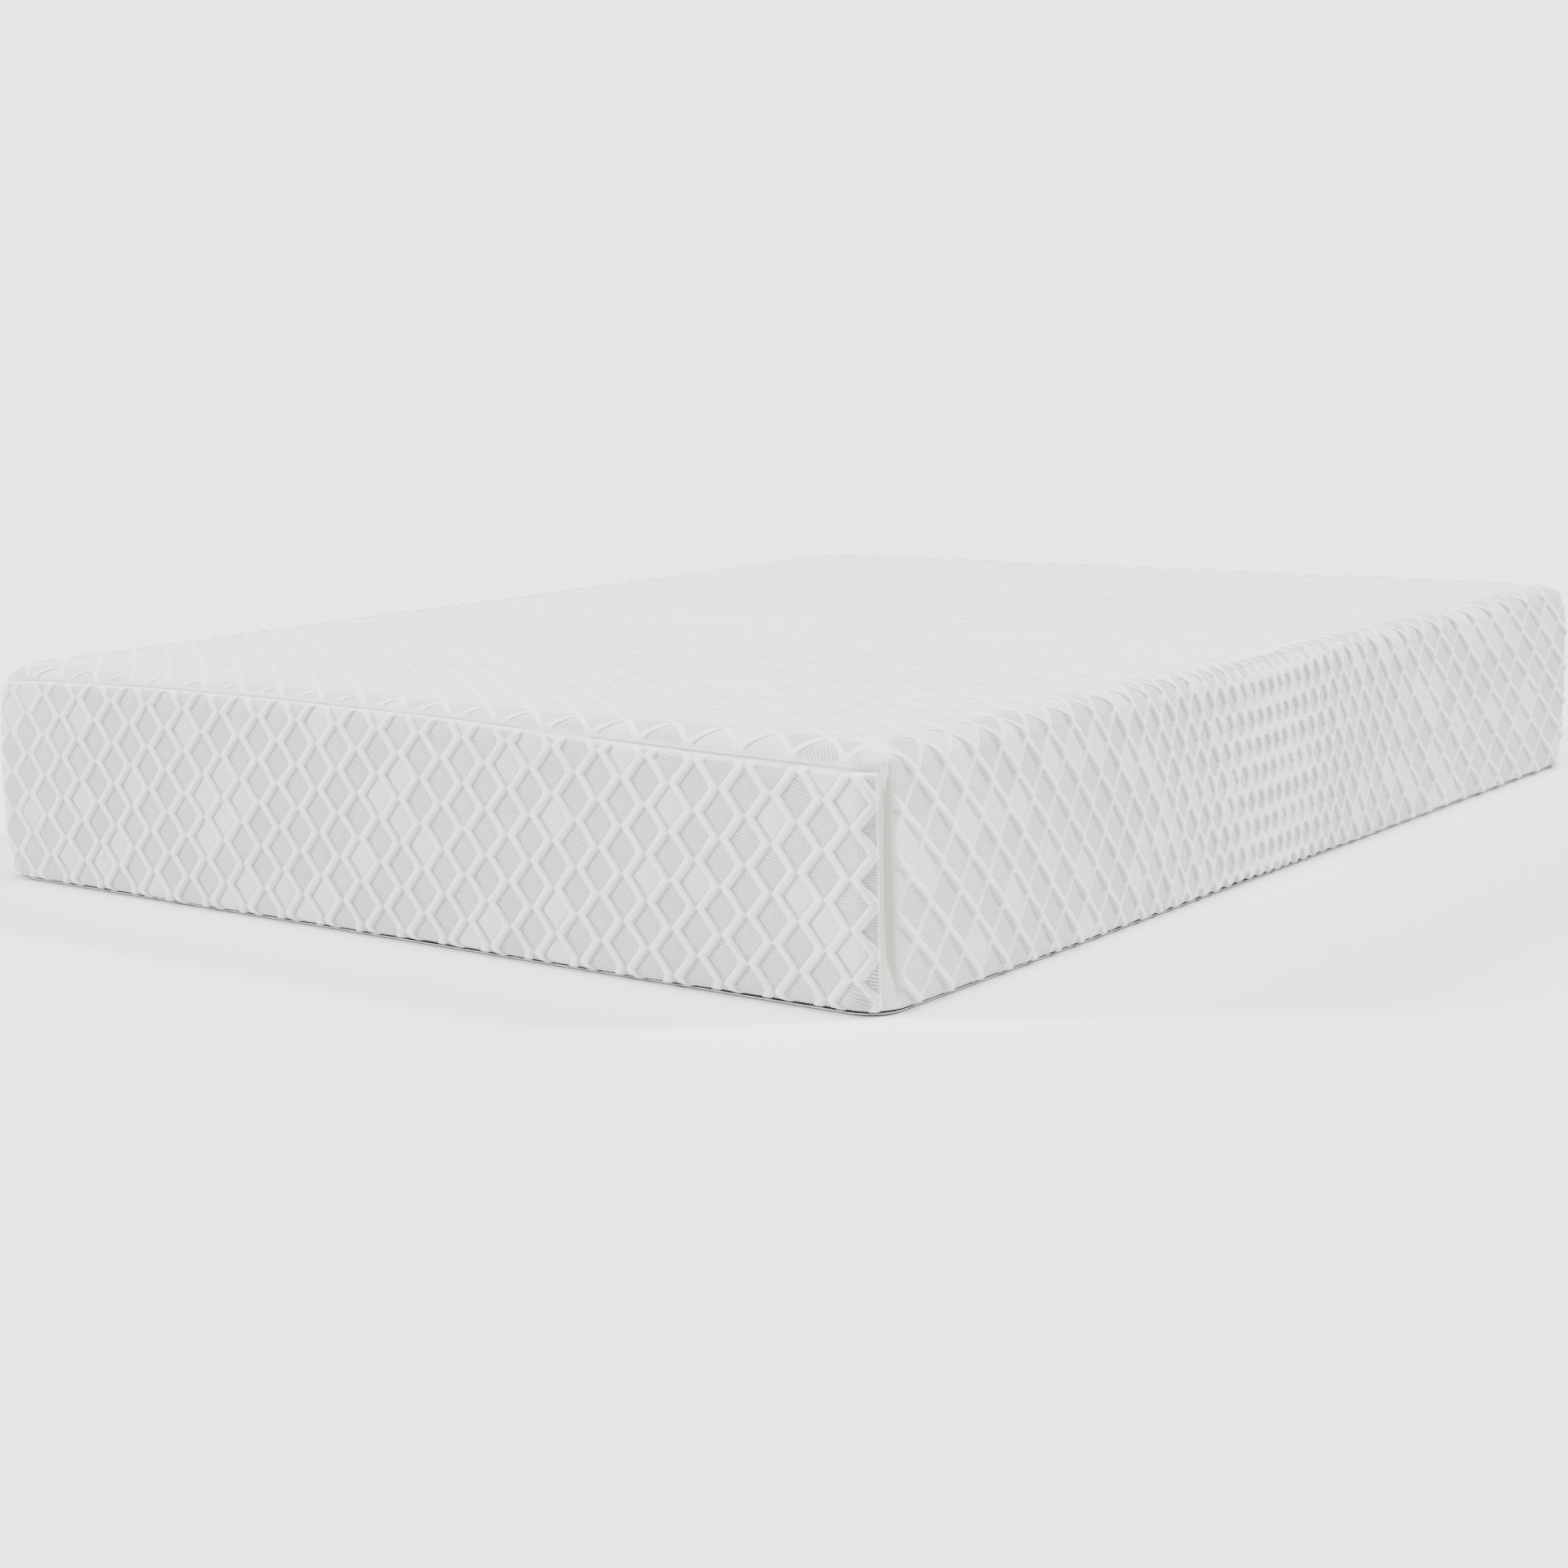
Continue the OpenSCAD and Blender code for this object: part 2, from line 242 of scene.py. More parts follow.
def knit_material(name, end, stripe_angle, rib_col, cell_col, shade_and_tone_col):
    """Double-jacquard knit: puffed plain ribs, and cells of stripes, seeds or plain stitches.
    UV map lattice holds the pattern's two phases, and fabric holds metres along the cloth."""
    m = Nodes(name)
    _, a, b = m.uv("lattice")
    fvec, s, t = m.uv("fabric")
    fade = m.attr("plain")
    ca, cb = m.math("FLOOR", a), m.math("FLOOR", b)
    p = m.math("SUBTRACT", m.math("SUBTRACT", a, ca), 0.5)
    q = m.math("SUBTRACT", m.math("SUBTRACT", b, cb), 0.5)
    plus, minus = m.math("ABSOLUTE", m.math("ADD", p, q)), m.math("ABSOLUTE", m.math("SUBTRACT", p, q))
    if end:
        g = m.math("ADD", m.math("MULTIPLY", plus, END_GX), m.math("MULTIPLY", minus, END_GY))
    else:
        A = m.math("MAXIMUM", m.math("MULTIPLY", m.math("ABSOLUTE", p), m.attr("icp")),
                   m.math("MULTIPLY", m.math("ABSOLUTE", q), m.attr("icq")))
        e1, e2 = m.math("MULTIPLY", minus, m.attr("idy")), m.math("MULTIPLY", plus, m.attr("ids"))
        B = m.math("SQRT", m.math("ADD", m.math("MULTIPLY", e1, e1), m.math("MULTIPLY", e2, e2)))
        g = m.math("SMOOTH_MAX", A, B, 0.08)
    pick = m.white(m.xyz(ca, cb, 3.0))
    tone = m.white(m.xyz(ca, cb, 9.0))
    turn = m.white(m.xyz(cb, ca, 5.0))
    # stripes across each cell, at a slightly different lean in each
    ang = m.math("ADD", math.radians(stripe_angle), m.math("MULTIPLY", m.math("SUBTRACT", turn, 0.5), 0.30))
    line = m.math("ADD", m.math("MULTIPLY", s, m.math("COSINE", ang)),
                  m.math("MULTIPLY", t, m.math("SINE", ang)))
    wob = m.math("MULTIPLY", m.noise(fvec, 190, 2.0), 3.0)
    stripes = m.math("SINE", m.math("ADD", m.math("MULTIPLY", line, 2 * math.pi / 0.0042), wob))
    # seeds
    k = 2 * math.pi / 0.0056
    wob2 = m.math("MULTIPLY", m.noise(fvec, 240, 2.0), 5.0)
    u1 = m.math("SINE", m.math("ADD", m.math("MULTIPLY", m.math("ADD", s, t), k), wob2))
    u2 = m.math("SINE", m.math("ADD", m.math("MULTIPLY", m.math("SUBTRACT", s, t), k * 0.8), wob2))
    seeds = m.math("MULTIPLY", u1, u2)
    # the fine knit that everything has
    kw = 2 * math.pi / 0.0019
    wale = m.math("MULTIPLY", m.math("SINE", m.math("MULTIPLY", s, kw)),
                  m.math("SINE", m.math("MULTIPLY", t, kw * 0.8)))
    is_stripe = m.math("LESS_THAN", pick, 0.36)
    is_seed = m.math("MULTIPLY", m.math("GREATER_THAN", pick, 0.36), m.math("LESS_THAN", pick, 0.78))
    fill = m.math("ADD", m.math("MULTIPLY", is_stripe, stripes),
                  m.math("MULTIPLY", is_seed, seeds))
    keep = m.math("SUBTRACT", 1.0, fade, clamp=True)
    inside = m.math("MULTIPLY", m.ramp(m.math("MULTIPLY", g, -1.0), -1.00, -0.90), keep)
    away = m.math("MULTIPLY", m.math("SUBTRACT", g, 1.03), 1.0 / 0.055)
    crease = m.math("MULTIPLY", m.math("EXPONENT", m.math("MULTIPLY", m.math("MULTIPLY", away, away), -1.0)), keep)
    if not end:
        thick = m.ramp(m.math("SUBTRACT", m.math("ABSOLUTE", q), m.math("ABSOLUTE", p)), -0.06, 0.04)
        crease = m.math("MULTIPLY", crease, thick)
    relief = m.math("MULTIPLY", fill, inside)
    grain = m.noise(fvec, 900, 2.0)
    height = m.math("ADD", m.math("MULTIPLY", relief, 0.80),
                    m.math("ADD", m.math("MULTIPLY", wale, m.lerp(inside, 0.03, 0.10)),
                           m.math("MULTIPLY", grain, m.lerp(inside, 0.06, 0.22))))
    height = m.math("SUBTRACT", height, m.math("MULTIPLY", crease, 0.9))
    m.bump(height, 0.0010, 1.0)
    base = m.mix(inside, rib_col, cell_col)
    # each cell a little lighter or darker at random, and painted shade: the colour is darker where the stitches' relief
    # is low
    shade = m.math("MULTIPLY", inside, m.math("ADD", m.math("MULTIPLY", tone, 0.34),
                   m.math("MULTIPLY", m.math("SUBTRACT", 0.2, relief), 0.62)), clamp=True)
    # painted shade: the crease round each cell's edge is darkened in colour as well as sunk in the bump
    shade = m.math("ADD", shade, m.math("MULTIPLY", crease, 0.95), clamp=True)
    col = m.mix(shade, base, shade_and_tone_col)
    soft = m.noise(fvec, 7.0, 3.0)
    col = m.mix(m.math("MULTIPLY", m.ramp(soft, 0.45, 0.75), 0.12), col, shade_and_tone_col)
    # painted shade: deep in the corner folds the colour is mixed towards a dark khaki, standing in for the shade there
    if not end:
        col = m.mix(m.math("MULTIPLY", m.attr("painted_fold_shade"), 0.90), col, (0.47, 0.44, 0.38, 1))
    rough = m.lerp(inside, 0.78, 0.92)
    return m.set(Base_Color=col, Roughness=rough, Sheen_Weight=0.2, Sheen_Roughness=0.5,
                 Specular_IOR_Level=0.25)


def fabric_material(name, col, dark, pitch=0.0012, rough=0.9, depth=0.0003):
    m = Nodes(name)
    v = m.place()
    sep = m.t.nodes.new("ShaderNodeSeparateXYZ")
    m.t.links.new(v, sep.inputs[0])
    k = 2 * math.pi / pitch
    w = m.math("MULTIPLY", m.math("SINE", m.math("MULTIPLY", m.math("ADD", sep.outputs[0], sep.outputs[2]), k)),
               m.math("SINE", m.math("MULTIPLY", m.math("ADD", sep.outputs[1], sep.outputs[2]), k)))
    n = m.noise(v, 60, 4.0)
    m.bump(m.math("ADD", w, n), depth, 0.8)
    c = m.mix(m.math("MULTIPLY", m.ramp(w, -0.2, 0.9), 0.35), col, dark)
    c = m.mix(m.math("MULTIPLY", n, 0.25), c, dark)
    return m.set(Base_Color=c, Roughness=m.lerp(n, rough - 0.06, min(1.0, rough + 0.05)),
                 Sheen_Weight=0.15, Sheen_Roughness=0.5)


def grip_material(name):
    """Plain base fabric with a print of small clear-white grip dots."""
    m = Nodes(name)
    v = m.place()
    sep = m.t.nodes.new("ShaderNodeSeparateXYZ")
    m.t.links.new(v, sep.inputs[0])
    k = 2 * math.pi / 0.0016
    weave = m.math("MULTIPLY", m.math("SINE", m.math("MULTIPLY", sep.outputs[0], k)),
                   m.math("SINE", m.math("MULTIPLY", sep.outputs[1], k)))
    kd = 2 * math.pi / 0.014
    dots = m.math("MULTIPLY",
                  m.math("COSINE", m.math("MULTIPLY", m.math("ADD", sep.outputs[0], sep.outputs[1]), kd)),
                  m.math("COSINE", m.math("MULTIPLY", m.math("SUBTRACT", sep.outputs[0], sep.outputs[1]), kd)))
    dot = m.ramp(dots, 0.62, 0.80)
    n = m.noise(v, 45, 4.0)
    m.bump(m.math("ADD", m.math("MULTIPLY", weave, 0.25), m.math("ADD", dot, m.math("MULTIPLY", n, 0.4))), 0.0005, 0.8)
    c = m.mix(m.math("MULTIPLY", n, 0.5), (0.66, 0.665, 0.67, 1), (0.54, 0.545, 0.55, 1))
    c = m.mix(m.math("MULTIPLY", m.ramp(weave, 0.0, 1.0), 0.3), c, (0.46, 0.465, 0.47, 1))
    c = m.mix(m.math("MULTIPLY", dot, 0.8), c, (0.70, 0.70, 0.70, 1))
    return m.set(Base_Color=c, Roughness=m.lerp(dot, 0.92, 0.55))


def foam_material(name, col, dark, cell=900.0):
    m = Nodes(name)
    v = m.place()
    pores = m.voronoi(v, cell)
    big = m.noise(v, 24, 4.0)
    m.bump(m.math("ADD", pores, m.math("MULTIPLY", big, 0.6)), 0.0006, 0.9)
    c = m.mix(m.ramp(pores, 0.15, 0.7), dark, col)
    c = m.mix(m.math("MULTIPLY", big, 0.3), c, dark)
    return m.set(Base_Color=c, Roughness=m.lerp(big, 0.9, 1.0))


def metal_material(name):
    m = Nodes(name)
    v = m.place()
    fine = m.noise(v, 1400, 3.0)
    wear = m.noise(v, 220, 4.0)
    m.bump(fine, 0.00004, 0.5)
    c = m.mix(m.ramp(wear, 0.4, 0.7), (0.62, 0.63, 0.65, 1), (0.48, 0.49, 0.51, 1))
    return m.set(Base_Color=c, Metallic=1.0, Roughness=m.lerp(wear, 0.22, 0.42))


def nylon_material(name):
    m = Nodes(name)
    v = m.place()
    n = m.noise(v, 700, 3.0)
    c = m.mix(n, (0.74, 0.745, 0.75, 1), (0.62, 0.625, 0.63, 1))
    m.bump(n, 0.00005, 0.5)
    return m.set(Base_Color=c, Roughness=m.lerp(n, 0.3, 0.45))


# half width and half height of an end panel's cell, in metres, and its two periods
P_EX, P_EZ = 0.0715, 0.056
CELL_X, CELL_Z = 0.0205, 0.0257
END_GX, END_GY = P_EX / 2 / CELL_X, P_EZ / 2 / CELL_Z
# the last colour of each knit is the dark its colour is mixed towards: painted shade in the creases and between the
# stitches, and random tone
KNIT_SIDE = knit_material("knit_waterfall", False, 32, (0.79, 0.79, 0.785, 1), (0.775, 0.76, 0.72, 1), (0.59, 0.57, 0.53, 1))
KNIT_END = knit_material("knit_end_panel", True, 78, (0.78, 0.79, 0.79, 1), (0.77, 0.765, 0.725, 1), (0.58, 0.575, 0.535, 1))
BASE_FABRIC = grip_material("base_grip_fabric")
THREAD = fabric_material("seam_thread", (0.70, 0.70, 0.68, 1), (0.50, 0.50, 0.47, 1), 0.0006)
TAPE = fabric_material("zip_tape_weave", (0.66, 0.665, 0.67, 1), (0.50, 0.505, 0.51, 1), 0.0009)
LABEL = fabric_material("label_cloth", (0.80, 0.80, 0.79, 1), (0.68, 0.68, 0.67, 1), 0.0007, depth=0.0001)
SOCK = fabric_material("fire_sock_knit", (0.78, 0.78, 0.74, 1), (0.60, 0.60, 0.56, 1), 0.0022)
FOAM_TOP = foam_material("memory_foam", (0.34, 0.60, 0.72, 1), (0.24, 0.47, 0.60, 1))
FOAM_MID = foam_material("transition_foam", (0.70, 0.77, 0.83, 1), (0.58, 0.66, 0.72, 1), 700)
FOAM_CORE = foam_material("support_foam", (0.84, 0.81, 0.70, 1), (0.70, 0.67, 0.56, 1), 600)
METAL = metal_material("zip_metal_satin")
NYLON = nylon_material("zip_coil_nylon")

# ---------------------------------------------------------------- the cover's form
# Everything is in metres. The cells' floor lies LOFT inside the CAD box, and the ribs puff out to it.
W2, L2, HT = 0.762, 1.016, 0.305
LOFT = 0.0042
TOP_R, BOT_R = 0.025, 0.013
FINE = 1.0
n_x, n_y = 4 * int(170 * FINE), 4 * int(235 * FINE)     # wall columns along the straight runs
n_c = 8 * int(4 * FINE)                     # wall columns round one corner
Z_SEAM0, Z_WIN_LO, Z_WIN_HI, Z_SEAM = 0.0026, 0.0185, 0.0355, 0.283


def bulge_in(z):
    """How far the wall leans in from its fullest height."""
    zm = 0.135
    up_ = np.clip((z - zm) / (HT - zm), 0, 1)
    dn = np.clip((zm - z) / zm, 0, 1)
    return 0.0065 * up_ ** 2.2 + 0.0035 * dn ** 2


def corner_grow(z):
    """Extra plan radius of the corners towards the top and the bottom."""
    return 0.026 * smoothstep(0.262, 0.304, z) + 0.016 * smoothstep(0.07, 0.0, z)


def profile():
    """Arc length, height, and arc inset along the wall, from the base seam over the top edge."""
    zb, zt = 0.0 + LOFT * 0.25, HT - LOFT      # the block's own floor and top
    th = np.linspace(0, np.pi / 2, 60)
    bot_a = BOT_R - BOT_R * np.sin(th)         # inset, from the floor up
    bot_z = zb + BOT_R - BOT_R * np.cos(th)
    keep = bot_z >= Z_SEAM0
    bot_a, bot_z = bot_a[keep], bot_z[keep]
    wall_z = np.linspace(zb + BOT_R, zt - TOP_R, 120)[1:-1]
    top_a = TOP_R - TOP_R * np.cos(th)
    top_z = zt - TOP_R + TOP_R * np.sin(th)
    a = np.concatenate([bot_a, np.zeros(len(wall_z)), top_a])
    z = np.concatenate([bot_z, wall_z, top_z])
    d = np.hypot(np.diff(a + bulge_in(z)), np.diff(z))
    return np.concatenate([[0], np.cumsum(d)]), z, a


PL, PZ, PA = profile()
L_END = PL[-1]


def at_height(z):
    return float(np.interp(z, PZ, PL))


marks = [0.0, at_height(Z_WIN_LO), at_height(Z_WIN_HI), at_height(Z_SEAM), L_END]
counts = [int(max(2, c * FINE)) for c in (4, 8, 112, 18)]
rows = [0.0]
for lo, hi, c in zip(marks[:-1], marks[1:], counts):
    rows += list(np.linspace(lo, hi, c + 1)[1:])
rows = np.array(rows)
J_LO, J_HI, J_SEAM = counts[0], sum(counts[:2]), sum(counts[:3])
NV = len(rows) - 1
h_c = n_c // 2
NX, NY = n_x + n_c, n_y + n_c
K = 2 * NX + 2 * NY


SEAM_A = {0: 52.0, 1: 38.0}                   # how far round the corner each side's cloth reaches, in degrees


def ring_columns():
    """Each perimeter column: its side (0 foot, 1 right, 2 head, 3 left), the place along the side from -1 to 1
    of the straight part, and its angle round the corner arc. Columns run foot, right, head, left."""
    side, frac, ang = [], [], []
    for sd, n in enumerate((n_x, n_y, n_x, n_y)):
        for i in range(n + n_c):
            side.append(sd)
            if i < h_c:
                frac.append(-1.0)
                ang.append(-(h_c - i) / h_c * SEAM_A[sd % 2])
            elif i <= h_c + n:
                frac.append(-1 + 2 * (i - h_c) / n)
                ang.append(0.0)
            else:
                frac.append(1.0)
                ang.append((i - h_c - n) / h_c * SEAM_A[sd % 2])
    return np.array(side), np.array(frac), np.radians(np.array(ang))


C_SIDE, C_FRAC, C_ANG = ring_columns()
HALF = np.array([W2, L2, W2, L2])
# unit vectors of each side: along it and out of it
ALONG = np.array([[1, 0], [0, 1], [-1, 0], [0, -1]], float)
OUT = np.array([[0, -1], [1, 0], [0, 1], [-1, 0]], float)


def seam_shift():
    """At the foot the seam climbs from the near corner towards the far one."""
    x = C_FRAC * 0.71 + 0.03 * C_ANG
    climb = np.interp(x, [-0.76, -0.66, -0.45, -0.2, 0.1, 0.3, 0.5, 0.74],
                      [-0.004, 0.004, 0.011, 0.012, 0.008, 0.001, -0.005, -0.009])
    return np.where(C_SIDE == 0, climb, 0.0)


def lengths():
    """(NV + 1, K) profile lengths, with the rows bent to follow the foot seam."""
    l = np.repeat(rows[:, None], K, 1)
    sh = seam_shift()
    tent = np.interp(rows, [rows[J_HI], rows[J_SEAM], L_END], [0, 1, 0])
    return l + tent[:, None] * sh[None, :]


LEN = lengths()
Z = np.interp(LEN, PL, PZ)
ARC = np.interp(LEN, PL, PA)
BUL = bulge_in(Z)
RW = 0.034 + corner_grow(Z)
half_here = HALF[C_SIDE][None, :] - LOFT - BUL
other_half = HALF[(C_SIDE + 1) % 4][None, :] - LOFT - BUL
c_along = half_here - RW                      # arc centre along the side
rad = RW - ARC
along = c_along * C_FRAC[None, :] + rad * np.sin(C_ANG)[None, :]
outw = (other_half - RW) + rad * np.cos(C_ANG)[None, :]
WX = along * ALONG[C_SIDE][:, 0][None, :] + outw * OUT[C_SIDE][:, 0][None, :]
WY = along * ALONG[C_SIDE][:, 1][None, :] + outw * OUT[C_SIDE][:, 1][None, :]
wall_pts = np.stack([WX, WY, Z], -1)          # (NV + 1, K, 3)

# The sleeping surface: a grid whose corner blocks bend into quarter discs.
RW_T, RAD_T = RW[-1, 0], rad[-1, 0]
CX_T, CY_T = float(W2 - LOFT - BUL[-1, 0] - RW_T), float(L2 - LOFT - BUL[-1, 0] - RW_T)
Z_T = HT - LOFT


MX, MY, m_c = NX // 2, NY // 2, h_c // 2      # the top is half as fine as the walls


def axis_marks(n, c, r):
    a = np.linspace(0, 1, m_c + 1)
    return np.concatenate([-(c + r * a[::-1]), np.linspace(-c, c, n // 2 + 1)[1:-1], c + r * a])


gx, gy = axis_marks(n_x, CX_T, RAD_T), axis_marks(n_y, CY_T, RAD_T)
GX, GY = np.meshgrid(gx, gy, indexing="xy")   # (MY + 1, MX + 1)
al = np.clip((np.abs(GX) - CX_T) / RAD_T, 0, 1)
be = np.clip((np.abs(GY) - CY_T) / RAD_T, 0, 1)
mx = np.maximum(al, be)
with np.errstate(divide="ignore", invalid="ignore"):
    th = np.where(al >= be, be / np.maximum(al, 1e-9) * math.radians(SEAM_A[1]),
                  np.pi / 2 - al / np.maximum(be, 1e-9) * math.radians(SEAM_A[0]))
corner = (al > 0) & (be > 0)
TX = np.where(corner, np.sign(GX) * (CX_T + mx * RAD_T * np.cos(th)), GX)
TY = np.where(corner, np.sign(GY) * (CY_T + mx * RAD_T * np.sin(th)), GY)
top_pts = np.stack([TX, TY, np.full_like(TX, Z_T)], -1)

# Vertex numbers: the walls first, then the inside of the top.
wall_id = np.arange((NV + 1) * K).reshape(NV + 1, K)
top_id = np.full((MY + 1, MX + 1), -1)
ring = wall_id[NV]
half_ring = ring[::2]
top_id[0, :] = half_ring[np.arange(0, MX + 1) % (K // 2)]
top_id[:, MX] = half_ring[(MX + np.arange(0, MY + 1)) % (K // 2)]
top_id[MY, ::-1] = half_ring[(MX + MY + np.arange(0, MX + 1)) % (K // 2)]
top_id[::-1, 0] = half_ring[(2 * MX + MY + np.arange(0, MY + 1)) % (K // 2)]
n_in = (MY - 1) * (MX - 1)
top_id[1:-1, 1:-1] = (NV + 1) * K + np.arange(n_in).reshape(MY - 1, MX - 1)
P = np.concatenate([wall_pts.reshape(-1, 3), top_pts[1:-1, 1:-1].reshape(-1, 3)])

# ---------------------------------------------------------------- pattern coordinates
P_U = 0.0728                                  # period across the waterfall panel
yf = np.array([0, 56, 120, 200, 270, 350, 430, 480, 530, 574, 615, 670, 732, 799, 859, 912, 962, 1017, 1079, 1130, 1190, 1231, 1276, 1325,
               1440, 1504, 1569, 1637, 1707, 1782, 1857, 2032]) * MM
pf = np.array([68, 66, 61, 59, 54, 52, 52.5, 50.5, 47, 42.5, 40, 37.5, 35, 32, 28, 25.5, 25, 29, 32, 37, 40, 43, 47, 50.5,
               61, 64, 66.5, 69, 73, 75.5, 76, 78]) * MM
fine_y = np.linspace(-0.12, 2.152, 4001)
fine_p = np.interp(fine_y, yf, pf)
fine_phi = np.concatenate([[0], np.cumsum((fine_y[1] - fine_y[0]) / ((fine_p[1:] + fine_p[:-1]) / 2))])


def phi(t):
    return np.interp(t + L2, fine_y, fine_phi) - np.interp(0.056, fine_y, fine_phi)


def period(t):
    return np.interp(t + L2, fine_y, fine_p)


X0 = CX_T + RAD_T
U0 = -(X0 + L_END - at_height(0.154) + 0.003) / P_U    # where the rows fall across the panel
Y0 = CY_T + RAD_T


def pulled(s, t):
    """The cloth is drawn a little askew: its rows climb towards the head, and lean on the long sides."""
    down_ = np.clip(np.abs(s) - (X0 - 0.02), 0, None)
    lean = np.interp(t + L2, [0, 0.9, 1.3, 1.8], [0.125, 0.14, 0.19, 0.26])
    climb = np.interp(t + L2, [0, 0.5, 1.4, 2.032], [0, 0.0215, 0.0475, 0.062])
    return s + np.clip(s / 0.60, -1, 1) * climb, t - lean * (down_ - 0.15)


def lattice_fall(s, t):
    s, t = pulled(s, t)
    a = s / P_U + U0 + phi(t)
    b = s / P_U + U0 - phi(t)
    return a, b


def lattice_end(s, t):
    l0 = at_height(0.1835)
    u, v = (s - 0.0743) / P_EX, (t - l0) / P_EZ - 0.010 * s / P_EZ * 0
    return u + v + 0.5, u - v + 0.5


def cell_hash(a, b, seed):
    i, j = np.floor(a).astype(np.int64), np.floor(b).astype(np.int64)
    h = (i * 73856093) ^ (j * 19349663) ^ (seed * 83492791)
    h = (h ^ (h >> 13)) * 1274126177
    return ((h ^ (h >> 16)) & 0xFFFF) / 65535.0


def dome(t, power=2.0):
    """A puffed rib's section, from its foot to its crest. A higher power is flatter on top."""
    t = np.clip(t, 0, 1)
    return np.power(np.clip(1 - (1 - t) ** power, 0, 1), 0.55)


def fall_shape(s, t):
    """The slowly changing sizes of the waterfall pattern: cell limits across its two line directions,
    half length and half width of its lens, and how open the pattern is here (0 tight, 1 open)."""
    py = period(t)
    z = np.clip((py - 0.0255) / (0.060 - 0.0255), 0, 1.3)
    D = 1 / np.sqrt(1 / py ** 2 + 1 / P_U ** 2)
    w1 = 0.0070 + 0.0042 * z                  # the thick ribs
    w2 = 0.0062 - 0.0012 * z                  # the thin ribs
    cq, cp = 0.5 * (1 - w1 / D), 0.5 * (1 - w2 / D)
    ax = np.where(z < 1, 0.0100 + (0.034 - 0.0100) * z, 0.5 * py + 0.004)
    az = 0.0122 + (0.0430 - 0.0122) * np.clip(z * 1.15, 0, 1) ** 1.1
    return py, z, cp, cq, ax, az


def relief_fall(s, t):
    """Height in metres above the cells' floor, and how much of a rib it is."""
    a, b = lattice_fall(s, t)
    p, q = a - np.floor(a) - 0.5, b - np.floor(b) - 0.5
    py, z, cp, cq, ax, az = fall_shape(s, t)
    mid = 1 - np.clip(z, 0, 1)
    ds, dy = P_U * (p + q) / 2, py * (p - q) / 2
    A = np.maximum(np.abs(p) / cp, np.abs(q) / cq)
    B = np.hypot(dy / ax, ds / az)
    g = np.power(np.power(A, 7) + np.power(B, 7) + 1e-9, 1 / 7)
    m = 2 * np.maximum(np.abs(p), np.abs(q))
    tt = np.where(g > 1, m * (g - 1) / np.maximum(g - m, 1e-4), 0)
    main = smoothstep(-0.10, 0.10, np.abs(q) - np.abs(p))
    # each thick rib swells along every cell edge, from a thin start to a blunt end
    run = p + 0.5
    swell = 0.62 + 0.55 * smoothstep(0.0, 0.75, run) - 0.65 * smoothstep(0.90, 1.0, run)
    swell = swell * (1 - 0.5 * mid) + 0.5 * mid
    far = smoothstep(0.2, 0.9, t)               # the thin ribs all but vanish towards the head
    h1, h2 = 0.0048, 0.0024 - 0.0012 * far + 0.0020 * mid
    cross = np.exp(-((np.abs(p) - 0.5) ** 2 + (np.abs(q) - 0.5) ** 2) / 0.010)
    amp = (h1 * swell * main + h2 * (1 - main)) * (1 - 0.25 * cross * (1 - mid))
    amp = amp * (0.9 + 0.2 * cell_hash(a + 0.5, b + 0.5, 5))
    pil = 0.0010 * np.clip(1 - g, 0, 1) ** 0.7   # the cell's floor is slightly full
    return amp * dome(tt, 2.3 + 1.4 * np.clip(z, 0, 1)) + pil, smoothstep(0.02, 0.35, tt)


def relief_end(s, t):
    a, b = lattice_end(s, t)
    p, q = a - np.floor(a) - 0.5, b - np.floor(b) - 0.5
    m = 2 * np.maximum(np.abs(p), np.abs(q))
    x_, y_ = np.abs(p + q), np.abs(p - q)
    g = np.power((x_ * END_GX) ** 1.12 + (y_ * END_GY) ** 1.12, 1 / 1.12)
    tt = np.where(g > 1, m * (g - 1) / np.maximum(g - m, 1e-4), 0)
    tip = np.exp(-((x_) ** 2 + (y_ - 1) ** 2) / 0.05)
    amp = 0.0044 * (1 - 0.40 * tip) * (0.92 + 0.16 * cell_hash(a + 0.5, b + 0.5, 8))
    pil = 0.0012 * np.clip(1 - g, 0, 1) ** 0.7
    return amp * dome(tt, 3.6) + pil, smoothstep(0.02, 0.35, tt)


# fabric coordinates on the walls, for both uses
c_len = C_FRAC[None, :] * c_along + RW * C_ANG[None, :]                     # along the side, (NV + 1, K)
down = L_END - LEN                                                         # below the top edge
sgn_out = np.array([-1, 1, 1, -1.0])[C_SIDE]                                # -Y, +X, +Y, -X
sgn_al = np.array([1, 1, -1, -1.0])[C_SIDE]
is_side = C_SIDE % 2 == 1
S_w = np.where(is_side[None, :], sgn_out[None, :] * (X0 + down), sgn_al[None, :] * c_len)
T_w = np.where(is_side[None, :], sgn_al[None, :] * c_len, sgn_out[None, :] * (Y0 + down))
# the corner columns belong to two sides; keep each side's own view of column 0 of the next
S_e = sgn_al[None, :] * c_len                                               # end panels: across
T_e = LEN + 0.0                                                            # end panels: up

h_w, rib_w = relief_fall(S_w, T_w)
h_e, rib_e = relief_end(S_e, T_e)
below = np.arange(NV + 1)[:, None] < J_SEAM + 0.5
use_end = (~is_side)[None, :] & below
h_e = h_e * (1 - 0.55 * ((C_SIDE == 2)[None, :] * smoothstep(0.0225, 0.0165, Z)))   # the zip strip lies flatter
h_e = h_e * (1 - 0.55 * smoothstep(-0.55, -0.72, S_e) * (C_SIDE == 0)[None, :])
h_wall = np.where(use_end, h_e, h_w)
rib_wall = np.where(use_end, rib_e, rib_w)

